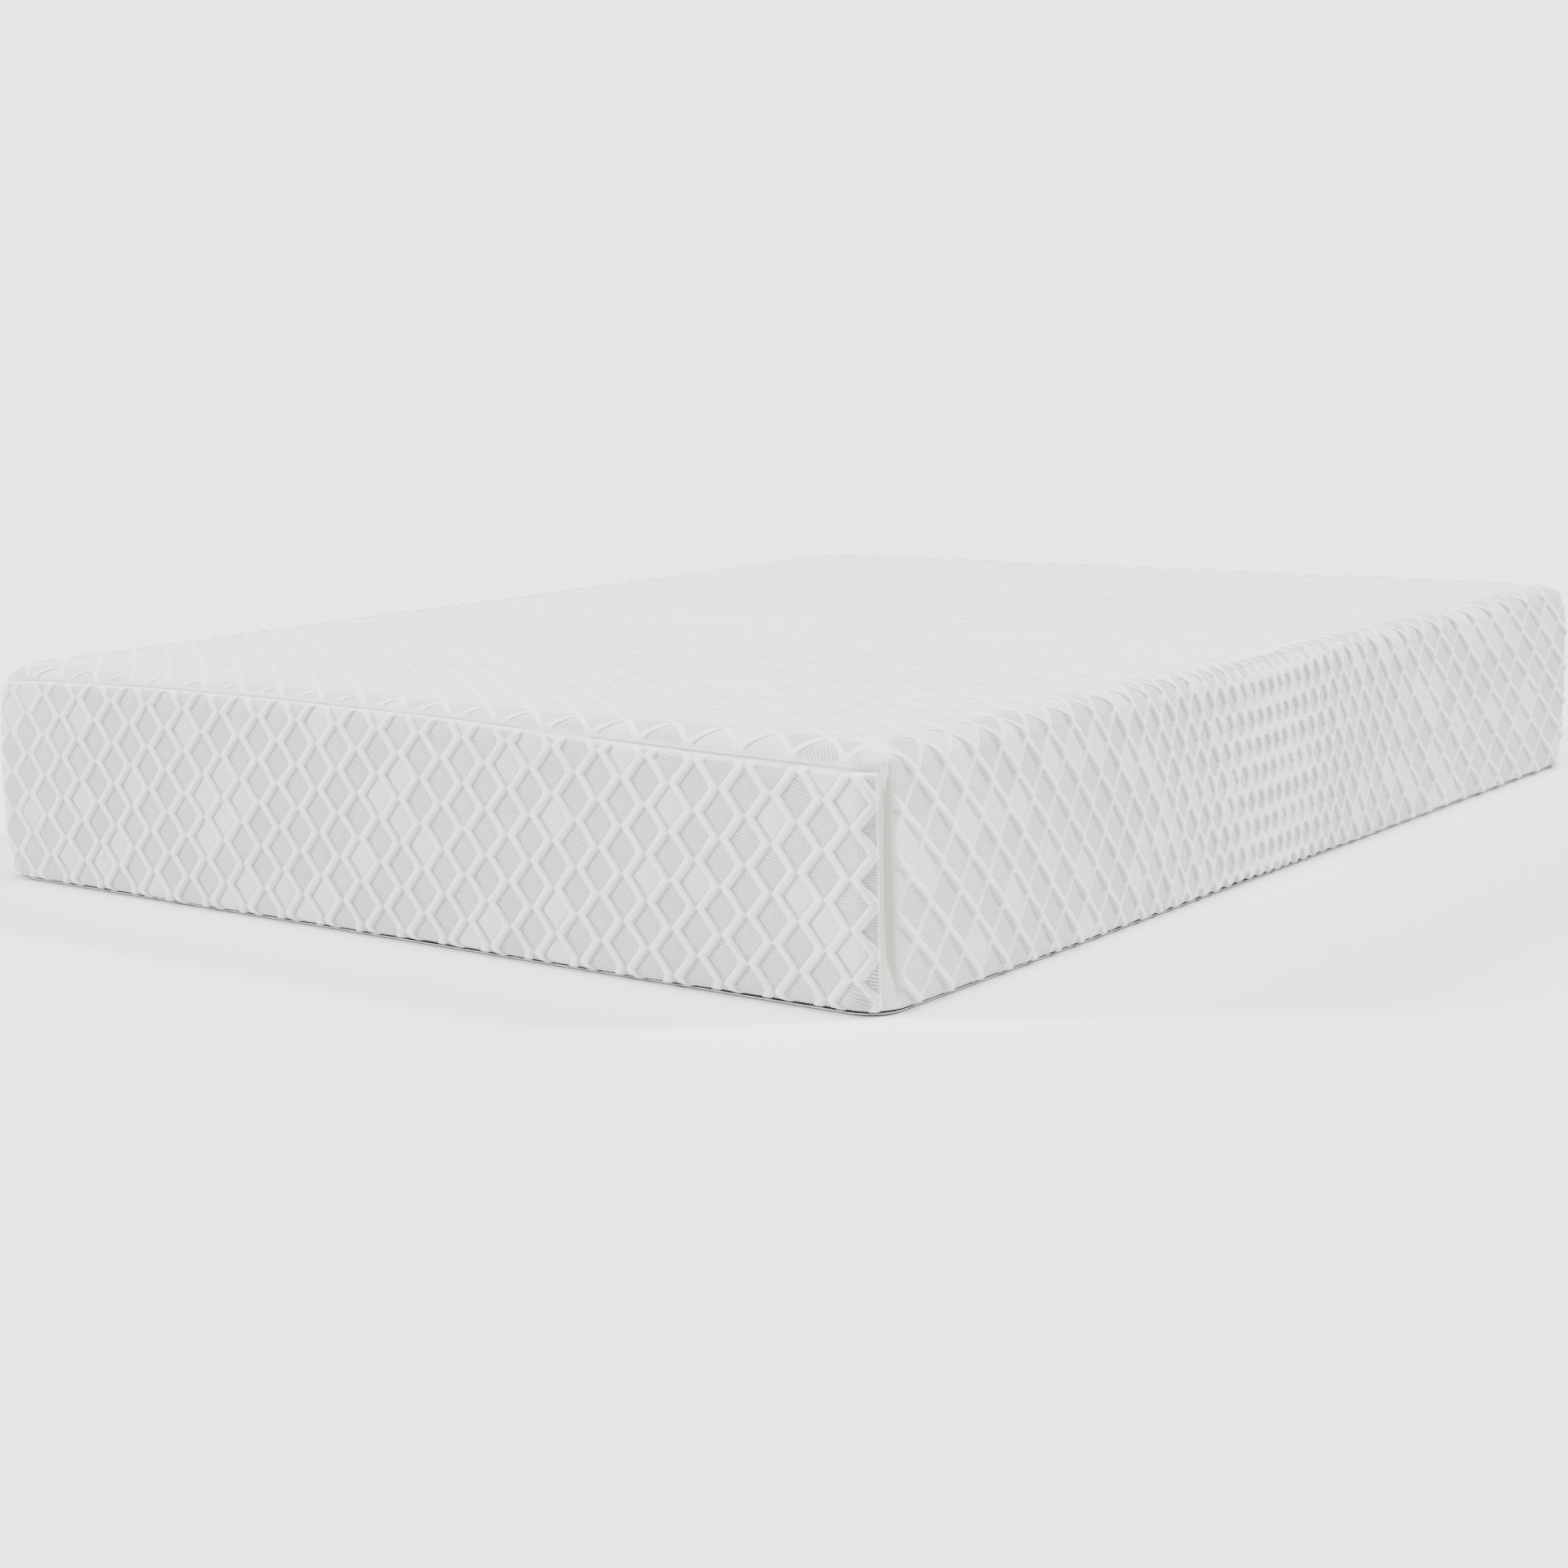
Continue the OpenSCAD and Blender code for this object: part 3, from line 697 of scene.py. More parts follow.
# distance of each column from the nearest corner seam, signed by the side it is on
reach = np.radians(np.where(C_SIDE % 2 == 0, SEAM_A[0], SEAM_A[1]))[None, :]
d_corner = np.maximum(RW * (reach - np.abs(C_ANG)[None, :]) + (1 - np.abs(C_FRAC))[None, :] * c_along, 0)
d_top = np.abs(LEN - LEN[J_SEAM][None, :])     # from the end panels' top seam
d_bot = LEN                                    # from the base seam

low = smoothstep(Z_SEAM + 0.004, Z_SEAM - 0.012, Z)      # 1 below the top seam
# corner grooves
side_col = is_side[None, :]
wide = smoothstep(0.25, 0.03, Z)               # the drawn-in band widens downwards
d_side = d_corner / (1 + 0.35 * wide)
ramp_ = np.clip(1 - d_side / 0.020, 0, 1)
deep = 0.0135 * smoothstep(0.004, 0.030, Z)
groove = np.where(side_col, deep * (ramp_ * 0.75 + 0.25 * smoothstep(0, 1, ramp_)),
                  deep * np.exp(-(d_corner / 0.0021) ** 2)) * low
# a small pucker in the side's cloth below each top corner
tuck = 0.0034 * np.exp(-((d_corner - 0.0055) / 0.0022) ** 2) * smoothstep(0.222, 0.250, Z) * smoothstep(0.286, 0.270, Z) * side_col
groove = groove - tuck
fade = np.where(side_col, smoothstep(0.013, 0.021, d_side), smoothstep(0.0015, 0.006, d_corner))
fade = 1 - (1 - fade) * low
# the waterfall panel is drawn in where it turns the top corner
pull = np.exp(-(d_corner / 0.022) ** 2) * smoothstep(Z_SEAM - 0.004, Z_SEAM + 0.004, Z)
fade = fade * (1 - 0.85 * pull)
# seam along the top of each end
on_end = (~is_side)[None, :].astype(float)
g_top = on_end * 0.0034 * np.exp(-(d_top / 0.0038) ** 2)
f_top = 1 - on_end * (1 - smoothstep(0.002, 0.009, d_top))
# bottom edge
g_bot = 0.0024 * np.exp(-(d_bot / 0.004) ** 2)
f_bot = smoothstep(0.000, 0.010, d_bot)
fade_wall = fade * f_top * f_bot * (1 - 0.55 * smoothstep(0.284, 0.2995, Z))
push_wall = h_wall * fade_wall - np.maximum(groove, g_top) - g_bot
plain_wall = 1 - fade * f_top * f_bot

# the top
S_t, T_t = TX, TY
h_t, rib_t = relief_fall(S_t, T_t)
near = np.hypot(np.maximum(np.abs(TX) - (CX_T - 0.002), 0), np.maximum(np.abs(TY) - (CY_T - 0.002), 0))
both = smoothstep(0.004, 0.020, np.minimum(np.abs(TX) - (CX_T - 0.01), np.abs(TY) - (CY_T - 0.01)))
fade_t = 1 - 0.7 * both
TOP_SOFT = 0.22                                # stretched flat by the foam, the top puffs less
near_edge = np.minimum(CX_T + RAD_T - np.abs(TX), CY_T + RAD_T - np.abs(TY))
push_top = h_t * fade_t * (1 - (1 - TOP_SOFT) * smoothstep(-0.01, 0.03, near_edge))

push = np.concatenate([push_wall.ravel(), push_top[1:-1, 1:-1].ravel()])
rib_all = np.concatenate([rib_wall.ravel(), rib_t[1:-1, 1:-1].ravel()])
plain_t = 1 - fade_t * (1 - 0.45 * smoothstep(-0.01, 0.04, near_edge))
plain_all = np.concatenate([plain_wall.ravel(), plain_t[1:-1, 1:-1].ravel()])
# painted shade: deep in the corner folds the cloth's colour is darkened, standing in for the shade there
painted_fold_shade_wall = side_col * low * smoothstep(0.019, 0.012, d_side) * smoothstep(0.000, 0.0022, d_corner) * smoothstep(0.006, 0.030, Z)
painted_fold_shade_all = np.concatenate([painted_fold_shade_wall.ravel(), 0 * TX[1:-1, 1:-1].ravel()])


fab_t = np.concatenate([T_w.ravel(), T_t[1:-1, 1:-1].ravel()])
_py, _z, _cp, _cq, _ax, _az = fall_shape(0 * fab_t, fab_t)
limits = (1 / _cp, 1 / _cq, _py / 2 / _ax, P_U / 2 / _az + 0 * _py)


# gentle unevenness of a soft body
def uneven(p, seed, amp, wave):
    rng = np.random.RandomState(seed)
    out = np.zeros(len(p))
    for _ in range(9):
        d = rng.normal(size=3)
        d /= np.linalg.norm(d)
        out += np.sin(p @ d * 2 * np.pi / (wave * rng.uniform(0.6, 1.6)) + rng.uniform(0, 6.28))
    return amp * out / 3


# ---------------------------------------------------------------- faces
def grid_faces(ids):
    return np.stack([ids[:-1, :-1], ids[:-1, 1:], ids[1:, 1:], ids[1:, :-1]], -1).reshape(-1, 4)


def corners_of(arr):
    return np.stack([arr[:-1, :-1], arr[:-1, 1:], arr[1:, 1:], arr[1:, :-1]], -1).reshape(-1, 4)


def side_cols(sd):
    start = [0, NX, NX + NY, 2 * NX + NY][sd]
    n = NX if sd % 2 == 0 else NY
    return start + np.arange(n + 1), n


def side_fields(sd):
    """Ids and fabric coordinates of one wall, its closing column seen from this side."""
    cols, n = side_cols(sd)
    wrap = cols % K
    ids = wall_id[:, wrap]
    ln = LEN[:, wrap].copy()
    cl = c_len[:, wrap].copy()
    cl[:, -1] = -cl[:, 0]
    if sd in (0,):
        ln[:, -1] = LEN[:, wrap[-1]]
    sg, so = [1, 1, -1, -1][sd], [-1, 1, 1, -1][sd]
    dn = L_END - ln
    if sd % 2:
        s, t = so * (X0 + dn), sg * cl
    else:
        s, t = sg * cl, so * (Y0 + dn)
    se, te = sg * cl, ln
    return ids, s, t, se, te




def top_faces(arr, fine):
    """The top grid's faces, or values at their corners. Each face on the rim is a quad and a triangle,
    because the walls have two columns to its one. fine holds the value at each in-between column."""
    inner = corners_of(arr[1:-1, 1:-1])
    quads, tris = [inner], []
    rims = [(arr[0, :], arr[1, :], fine[0], False), (arr[:, -1], arr[:, -2], fine[1], False),
            (arr[-1, ::-1], arr[-2, ::-1], fine[2], False), (arr[::-1, 0], arr[::-1, 1], fine[3], False)]
    for out_, in_, mid_, _ in rims:
        # leave the corner faces whole: they belong to two rims
        o0, o1, i0, i1, md = out_[1:-2], out_[2:-1], in_[1:-2], in_[2:-1], mid_[1:-1]
        quads.append(np.stack([o0, md, i1, i0], -1))
        tris.append(np.stack([md, o1, i1], -1))
    # the four corner faces: two in-between columns each, so one quad and two triangles
    cs = [(arr[0, 0], arr[0, 1], arr[1, 1], arr[1, 0], fine[0][0], fine[3][-1]),
          (arr[0, -1], arr[1, -1], arr[1, -2], arr[0, -2], fine[1][0], fine[0][-1]),
          (arr[-1, -1], arr[-1, -2], arr[-2, -2], arr[-2, -1], fine[2][0], fine[1][-1]),
          (arr[-1, 0], arr[-2, 0], arr[-2, 1], arr[-1, 1], fine[3][0], fine[2][-1])]
    for c_, nxt, inn, prv, m1, m2 in cs:
        quads.append(np.array([[c_, m1, inn, m2]]))
        tris.append(np.array([[m1, nxt, inn], [m2, inn, prv]]))
    return np.concatenate(quads), np.concatenate(tris)


def rim_mids(wall_row):
    """The in-between columns of each side, in ring order."""
    out_ = []
    for sd in range(4):
        st = [0, NX, NX + NY, 2 * NX + NY][sd]
        n = NX if sd % 2 == 0 else NY
        out_.append(wall_row[(st + 1 + 2 * np.arange(n // 2)) % K])
    return out_


top_quads, top_tris = top_faces(top_id, rim_mids(ring))
all_faces = [top_quads]
for sd in range(4):
    all_faces.append(grid_faces(side_fields(sd)[0]))
F = np.concatenate(all_faces + [np.column_stack([top_tris, top_tris[:, 2]])])
# vertex normals of the plain form
a_, b_, c_, d_ = (P[F[:, i]] for i in range(4))
fn = np.cross(c_ - a_, d_ - b_)
N = np.zeros_like(P)
for i in range(4):
    for ax_ in range(3):
        N[:, ax_] += np.bincount(F[:, i], fn[:, ax_], minlength=len(P))
N /= np.maximum(np.linalg.norm(N, axis=1), 1e-12)[:, None]

big = uneven(P, 3, 0.0009, 0.42) + uneven(P, 4, 0.0004, 0.16)
# the top is very slightly crowned
flat_w = np.clip(N[:, 2], 0, 1)
crown = 0.0012 * flat_w * np.clip((1 - (P[:, 0] / W2) ** 2), 0, 1) ** 0.5 * np.clip(1 - (P[:, 1] / L2) ** 2, 0, 1) ** 0.5
Q = P + N * (push + big + crown - 0.0012 * flat_w)[:, None]
# keep the hem above the floor
Q[:, 2] = np.maximum(Q[:, 2], 0.0018)


def uv_pair(u, v):
    return np.stack([corners_of(u), corners_of(v)], -1)


def set_attr(ob, name, values, used):
    at = ob.data.attributes.new(name, "FLOAT", "POINT")
    at.data.foreach_set("value", values[used].astype(np.float32))


def cover_piece(name, parts, mat, kind, top_box=None):
    """parts: a list of (ids, s, t, box) grids that share vertices. With top_box, the sleeping surface too."""
    lattice = lattice_fall if kind == "fall" else lattice_end
    faces, lat, fab, bake = [], [], [], []
    for ids, s, t, box in parts:
        faces.append(grid_faces(ids))
        lat.append(uv_pair(*lattice(s, t)))
        fab.append(uv_pair(s, t))
        u = np.linspace(box[0], box[2], ids.shape[1])[None, :] + 0 * s
        v = np.linspace(box[1], box[3], ids.shape[0])[:, None] + 0 * s
        bake.append(uv_pair(u, v))
    groups = [np.concatenate(faces)]
    uvs = {"OFBake": [np.concatenate(bake)], "lattice": [np.concatenate(lat)], "fabric": [np.concatenate(fab)]}
    if top_box:
        X_, Y_ = P[:, 0], P[:, 1]
        bu = top_box[0] + (X_ + top_w / 2) / top_w * (top_box[2] - top_box[0])
        bv = top_box[1] + (Y_ + top_l / 2) / top_l * (top_box[3] - top_box[1])
        la, lb = lattice(X_, Y_)
        for k, f in enumerate((top_quads, top_tris)):
            for nm, (u, v) in (("OFBake", (bu, bv)), ("lattice", (la, lb)), ("fabric", (X_, Y_))):
                pair = np.stack([u[f], v[f]], -1)
                if k == 0:
                    uvs[nm][0] = np.concatenate([uvs[nm][0], pair])
                else:
                    uvs[nm].append(pair)
        groups[0] = np.concatenate([groups[0], top_quads])
        groups.append(top_tris)
    ob = mesh_piece(name, Q, groups, mat, uvs)
    used = np.unique(np.concatenate([g.ravel() for g in groups]))
    set_attr(ob, "plain", plain_all, used)
    set_attr(ob, "painted_fold_shade", painted_fold_shade_all, used)
    if kind == "fall":
        for nm, val in zip(("icp", "icq", "idy", "ids"), limits):
            set_attr(ob, nm, val, used)
    return ob


sf = [side_fields(i) for i in range(4)]
# one texture sheet: the top in the middle, sides beside it, the turned-down ends above and below
top_w, top_l, side_h, end_h = 2 * (CX_T + RAD_T), 2 * (CY_T + RAD_T), L_END, L_END - rows[J_SEAM]
tot_u, tot_v = top_w + 2 * side_h + 0.02, top_l + 2 * end_h + 0.02
tot = max(tot_u, tot_v)


def bx(u0, v0, u1, v1):
    return [u0 / tot, v0 / tot, u1 / tot, v1 / tot]


top_box = bx(side_h + .01, end_h + .01, side_h + .01 + top_w, end_h + .01 + top_l)
fall_parts = []


def turned(sd, lo_row, hi_row, box):
    ids, s, t, _, _ = sf[sd]
    return (ids[lo_row:hi_row], s[lo_row:hi_row], t[lo_row:hi_row], box)


# A wall's grid has rows for height and columns along it, so the sides lie as bands under the top's sheet.
fall_parts.append(turned(0, J_SEAM, NV + 1, bx(side_h + .01, 0.0, side_h + .01 + top_w, end_h)))
fall_parts.append(turned(2, J_SEAM, NV + 1, bx(side_h + .01, end_h + top_l + .02, side_h + .01 + top_w, 2 * end_h + top_l + .02)))


def upright(sd, box):
    """A side wall laid with its length up the sheet."""
    ids, s, t, _, _ = sf[sd]
    return (ids.T, s.T, t.T, box)


right = upright(1, bx(side_h + top_w + .02, end_h + .01, 2 * side_h + top_w + .02, end_h + .01 + top_l))
left = upright(3, bx(0.0, end_h + .01, side_h, end_h + .01 + top_l))
# a transposed grid turns its faces over, so it is flipped back
right = tuple(x[:, ::-1] if isinstance(x, np.ndarray) else x for x in right)
left = tuple(x[:, ::-1] if isinstance(x, np.ndarray) else x for x in left)
fall_parts += [right, left]
cover_top = cover_piece("cover_top_sides", fall_parts, KNIT_SIDE, "fall", top_box)
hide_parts("top_side_panel")

ids, _, _, se, te = sf[0]
foot = cover_piece("cover_foot_end", [(ids[:J_SEAM + 1], se[:J_SEAM + 1], te[:J_SEAM + 1], [0.0, 0.0, 1.0, 0.18])],
                   KNIT_END, "end")
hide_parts("foot_end_panel")

# head end: the panel above the zip, with two legs down beside the window
ids, _, _, se, te = sf[2]
c0, c1 = h_c, h_c + n_x
head_parts = [(ids[J_HI:J_SEAM + 1], se[J_HI:J_SEAM + 1], te[J_HI:J_SEAM + 1], [0.0, 0.02, 1.0, 0.18]),
              (ids[:J_HI + 1, :c0 + 1], se[:J_HI + 1, :c0 + 1], te[:J_HI + 1, :c0 + 1], [0.0, 0.0, 0.02, 0.019]),
              (ids[:J_HI + 1, c1:], se[:J_HI + 1, c1:], te[:J_HI + 1, c1:], [0.98, 0.0, 1.0, 0.019])]
# the rows beside the zip: this loop does nothing
for row, col in ((J_HI, slice(c0, c1 + 1)), (J_LO, slice(c0, c1 + 1))):
    pass
head = cover_piece("cover_head_end", head_parts, KNIT_END, "end")
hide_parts("head_end_panel")
placket = cover_piece("cover_zip_placket", [(ids[:J_LO + 1, c0:c1 + 1], se[:J_LO + 1, c0:c1 + 1], te[:J_LO + 1, c0:c1 + 1], [0.0, 0.0, 1.0, 0.01])],
                      KNIT_END, "end")
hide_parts("zip_placket_strip")

# ---------------------------------------------------------------- inside: foam and sock


def outline_pts(hx, hy, r, n_side=40, n_arc=8):
    out = []
    for q, (sx, sy) in enumerate(((1, -1), (1, 1), (-1, 1), (-1, -1))):
        a0 = -90 + 90 * q
        for i in range(n_arc + 1):
            t = math.radians(a0 + 90 * i / n_arc)
            out.append((sx * (hx - r) + r * math.cos(t), sy * (hy - r) + r * math.sin(t)))
        nx_, ny_ = ((1, 1), (-1, 1), (-1, -1), (1, -1))[q]
        p0 = np.array(out[-1])
        t = math.radians(a0 + 90)
        sx2, sy2 = ((1, 1), (-1, 1), (-1, -1), (1, -1))[q]
        p1 = np.array((sx2 * (hx - r) + r * math.cos(t), sy2 * (hy - r) + r * math.sin(t)))
        for i in range(1, n_side):
            out.append(tuple(p0 + (p1 - p0) * i / n_side))
    return np.array(out)


def soft_block(name, lo, hi, r, edge_t, edge_b, mat, seed, amp=0.0006):
    """A closed rounded slab: rings up the side, and rings shrinking in over the top and bottom."""
    cx_, cy_ = (lo[0] + hi[0]) / 2, (lo[1] + hi[1]) / 2
    hx, hy = (hi[0] - lo[0]) / 2, (hi[1] - lo[1]) / 2
    th_ = np.linspace(0, np.pi / 2, 5)
    prof = [(edge_b * (1 - math.sin(t)), lo[2] + edge_b * (1 - math.cos(t))) for t in th_]
    prof += [(0.0, z) for z in np.linspace(lo[2] + edge_b, hi[2] - edge_t, 8)[1:-1]]
    prof += [(edge_t * (1 - math.cos(t)), hi[2] - edge_t * (1 - math.sin(t))) for t in th_]
    rings = []
    ins = [0.30 * hx * (1 - (i / 10) ** 1.5) for i in range(10)]
    for i in ins:
        rings.append((edge_b + i, lo[2], "in"))
    rings += [(a, z, "side") for a, z in prof]
    for i in ins[::-1]:
        rings.append((edge_t + i, hi[2], "in"))
    pts = []
    for a, z, _ in rings:
        o = outline_pts(hx - a, hy - a, max(r - a, 0.002))
        pts.append(np.column_stack([o[:, 0] + cx_, o[:, 1] + cy_, np.full(len(o), z)]))
    n = len(pts[0])
    V = np.concatenate(pts)
    ids_ = np.arange(len(V)).reshape(len(rings), n)
    ids_ = np.concatenate([ids_, ids_[:, :1]], 1)
    Fq = grid_faces(ids_)
    V = V + np.stack([uneven(V, seed, amp, 0.3), uneven(V, seed + 1, amp, 0.3), 0 * V[:, 0]], -1)
    # caps: a fan to the middle
    for row, flip in ((0, True), (len(rings) - 1, False)):
        V = np.vstack([V, [[cx_, cy_, rings[row][1]]]])
        m_ = len(V) - 1
        r_ = ids_[row]
        tri = np.stack([r_[:-1], r_[1:], np.full(n, m_), np.full(n, m_)], -1)
        tri = tri[:, [1, 0, 2, 3]] if flip else tri
        Fq = np.concatenate([Fq, tri])
    me = bpy.data.meshes.new(name)
    me.from_pydata(V.tolist(), [], [list(dict.fromkeys(f)) for f in Fq.tolist()])
    me.polygons.foreach_set("use_smooth", np.ones(len(me.polygons), bool))
    me.update()
    ob = link(bpy.data.objects.new(name, me))
    me.materials.append(mat)
    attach(ob, "mattress")
    return ob


layers = (("support_core", FOAM_CORE, "support_foam", "foam_support_core", 0.004, 0.012),
          ("transition_foam", FOAM_MID, "transition_foam", "foam_transition", 0.004, 0.004),
          ("comfort_foam", FOAM_TOP, "memory_foam", "foam_comfort", 0.024, 0.004))
for node, mat, slot_name, name, et, eb in layers:
    lo, hi = (list(map(float, p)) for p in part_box(node))
    lo, hi = [lo[0] + .009, lo[1] + .009, lo[2] + .0004], [hi[0] - .009, hi[1] - .006, hi[2] - .0004]
    if node == "comfort_foam":
        hi[2] -= 0.006
    ob = soft_block(name, lo, hi, 0.036, et, eb, mat, 11)
    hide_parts(node)
lo, hi = (list(map(float, p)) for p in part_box("fire_barrier_sock"))
sock = soft_block("fire_sock", [lo[0] + .0065, lo[1] + .0065, lo[2] + .0006], [hi[0] - .0065, hi[1] - .003, hi[2] - .0045],
                  0.040, 0.026, 0.013, SOCK, 11)
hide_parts("fire_barrier_sock")

# ---------------------------------------------------------------- base fabric


def base_fabric():
    nx_, ny_ = 96, 128
    arc = 8
    z0 = 0.0
    zs = [0.0032, 0.0027, 0.0021, 0.0015, 0.0009, 0.0005, 0.0002, 0.0]
    pts = []
    for z in zs:
        a = BOT_R - math.sqrt(max(0.0, BOT_R ** 2 - (BOT_R - z) ** 2))
        a += 0.0034 if z == zs[0] else 0.0020
        o = outline_pts(W2 - 0.0040 - a, L2 - 0.0040 - a, 0.052 - a, 120, 10)
        pts.append(np.column_stack([o, np.full(len(o), z + z0)]))
    a = BOT_R
    for i in range(1, 14):
        f = (i / 13) ** 1.3
        o = outline_pts((W2 - 0.004 - a) * (1 - f) + 0.02 * f, (L2 - 0.004 - a) * (1 - f) + 0.27 * f,
                        max((0.052 - a) * (1 - f), 0.004), 120, 10)
        pts.append(np.column_stack([o, np.full(len(o), 0.0)]))
    n = len(pts[0])
    V = np.concatenate(pts)
    ids_ = np.arange(len(V)).reshape(-1, n)
    ids_ = np.concatenate([ids_, ids_[:, :1]], 1)[::-1]
    Fq = grid_faces(ids_)
    last = np.arange(len(V) - n, len(V))
    V = np.vstack([V, [[0, 0, 0]]])
    faces = Fq.tolist() + [[int(last[(i + 1) % n]), int(last[i]), len(V) - 1] for i in range(n)]
    me = bpy.data.meshes.new("base_fabric")
    me.from_pydata(V.tolist(), [], faces)
    me.polygons.foreach_set("use_smooth", np.ones(len(me.polygons), bool))
    me.update()
    ob = link(bpy.data.objects.new("base_fabric", me))
    me.materials.append(BASE_FABRIC)
    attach(ob, "mattress")
    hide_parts("base_panel")
    return ob


base_fabric()

# ---------------------------------------------------------------- stitches in the seams


def stitches(name, path, normals, node, pitch=0.0042, size=(0.0030, 0.0007), lean=0.35, width=0.0016):
    """A zigzag of thread along a path: one small rounded bar for each stitch."""
    path, normals = np.asarray(path), np.asarray(normals)
    seg = np.linalg.norm(np.diff(path, axis=0), axis=1)
    at = np.concatenate([[0], np.cumsum(seg)])
    n = int(at[-1] / pitch)
    where = (np.arange(n) + 0.5) * pitch
    C = np.stack([np.interp(where, at, path[:, i]) for i in range(3)], -1)
    T = np.stack([np.interp(where + 0.001, at, path[:, i]) for i in range(3)], -1) - C
    T /= np.maximum(np.linalg.norm(T, axis=1), 1e-9)[:, None]
    M = np.stack([np.interp(where, at, normals[:, i]) for i in range(3)], -1)
    M -= T * (M * T).sum(1)[:, None]
    M /= np.maximum(np.linalg.norm(M, axis=1), 1e-9)[:, None]
    S = np.cross(T, M)
    side = np.where(np.arange(n) % 2 == 0, 1.0, -1.0)[:, None]
    D = T * math.cos(lean) + S * side * math.sin(lean)
    E = np.cross(D, M)
    half, r = size[0] / 2, size[1]
    V, Fs = [], []
    prof = [(-1.0, 0.15, 0.0), (-0.75, 0.8, 0.4), (0.0, 1.0, 1.0), (0.75, 0.8, 0.4), (1.0, 0.15, 0.0)]
    k = 6
    for i, (u, w, lift) in enumerate(prof):
        for j in range(k):
            t = 2 * math.pi * j / k
            V.append(C + D * (u * half) + E * (w * r * math.cos(t)) + M * (w * r * math.sin(t) + lift * r * 0.5))
    V = np.stack(V, 1)                       # (n, 5k, 3)
    base = []
    for i in range(len(prof) - 1):
        for j in range(k):
            base.append([i * k + j, i * k + (j + 1) % k, (i + 1) * k + (j + 1) % k, (i + 1) * k + j])
    # blunt ends
    e = (len(prof) - 1) * k
    base += [[0, 3, 2, 1], [0, 5, 4, 3], [e, e + 1, e + 2, e + 3], [e, e + 3, e + 4, e + 5]]
    base = np.array(base)
    Fs = (base[None] + (np.arange(n) * len(prof) * k)[:, None, None]).reshape(-1, 4)
    ob = mesh_piece(name, V.reshape(-1, 3), Fs, THREAD)
    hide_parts(node)
    return ob


def seam_path(sd):
    """Up one corner, along the end's top seam and down the other corner, in the groove."""
    cols, n = side_cols(sd)
    wrap = cols % K
    idx = np.concatenate([wall_id[2:J_SEAM, wrap[0]], wall_id[J_SEAM, wrap], wall_id[2:J_SEAM, wrap[-1]][::-1]])
    return Q[idx] + N[idx] * 0.0004, N[idx]


for sd, name, node in ((0, "stitching_foot_end", "foot_panel_seam"), (2, "stitching_head_end", "head_panel_seam")):
    p_, n_ = seam_path(sd)
    stitches(name, p_, n_, node)
idx = np.concatenate([wall_id[0], wall_id[0][:1]])
out_n = N[idx] * np.array([1, 1, 0.2])
stitches("stitching_base", Q[idx] + np.array([0, 0, -0.0006]) + N[idx] * 0.0002, out_n, "base_seam", pitch=0.0048)

# ---------------------------------------------------------------- zip
tape_lo, tape_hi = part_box("zip_upper_tape")
zu_lo, zu_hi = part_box("zip_upper_coil")
zl_lo, zl_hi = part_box("zip_lower_coil")
sl_lo, sl_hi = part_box("zip_slider")
tab_lo, tab_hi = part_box("zip_pull_tab")
ZC = (zu_lo[2] + zl_hi[2]) / 2


def coil(name, lo, hi, node, flip):
    """Nylon monofilament wound in flattened turns."""
    pitch, seg, sides, r = 0.00135, 9, 5, 0.00031
    n = int((hi[0] - lo[0]) / pitch)
    i = np.arange(n * seg + 1)
    t = i / seg
    x = lo[0] + 0.0004 + t * pitch * ((hi[0] - lo[0] - 0.0008) / (n * pitch))
    ang = 2 * np.pi * t * (1 if flip else -1)
    cy_, cz_ = (lo[1] + hi[1]) / 2, (lo[2] + hi[2]) / 2
    ry, rz = (hi[1] - lo[1]) / 2 - r, (hi[2] - lo[2]) / 2 - r
    cs, sn = np.cos(ang), np.sin(ang)
    sq = lambda v: np.sign(v) * np.abs(v) ** 0.75
    c = np.stack([x, cy_ + ry * sq(sn), cz_ + rz * sq(cs)], -1)
    tan = np.gradient(c, axis=0)
    tan /= np.linalg.norm(tan, axis=1)[:, None]
    side_v = np.cross(tan, np.array([1.0, 0, 0]))
    side_v /= np.maximum(np.linalg.norm(side_v, axis=1), 1e-9)[:, None]
    nn = np.cross(side_v, tan)
    V = np.stack([c + r * (math.cos(a) * side_v + math.sin(a) * nn) for a in np.linspace(0, 2 * math.pi, sides, endpoint=False)], 1)
    ids_ = np.arange(len(c) * sides).reshape(len(c), sides)
    ids_ = np.concatenate([ids_, ids_[:, :1]], 1)
    ob = mesh_piece(name, V.reshape(-1, 3), grid_faces(ids_), NYLON)
    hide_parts(node)
    return ob


coil("zip_coil_upper", zu_lo, zu_hi, "zip_upper_coil", True)
coil("zip_coil_lower", zl_lo, zl_hi, "zip_lower_coil", False)


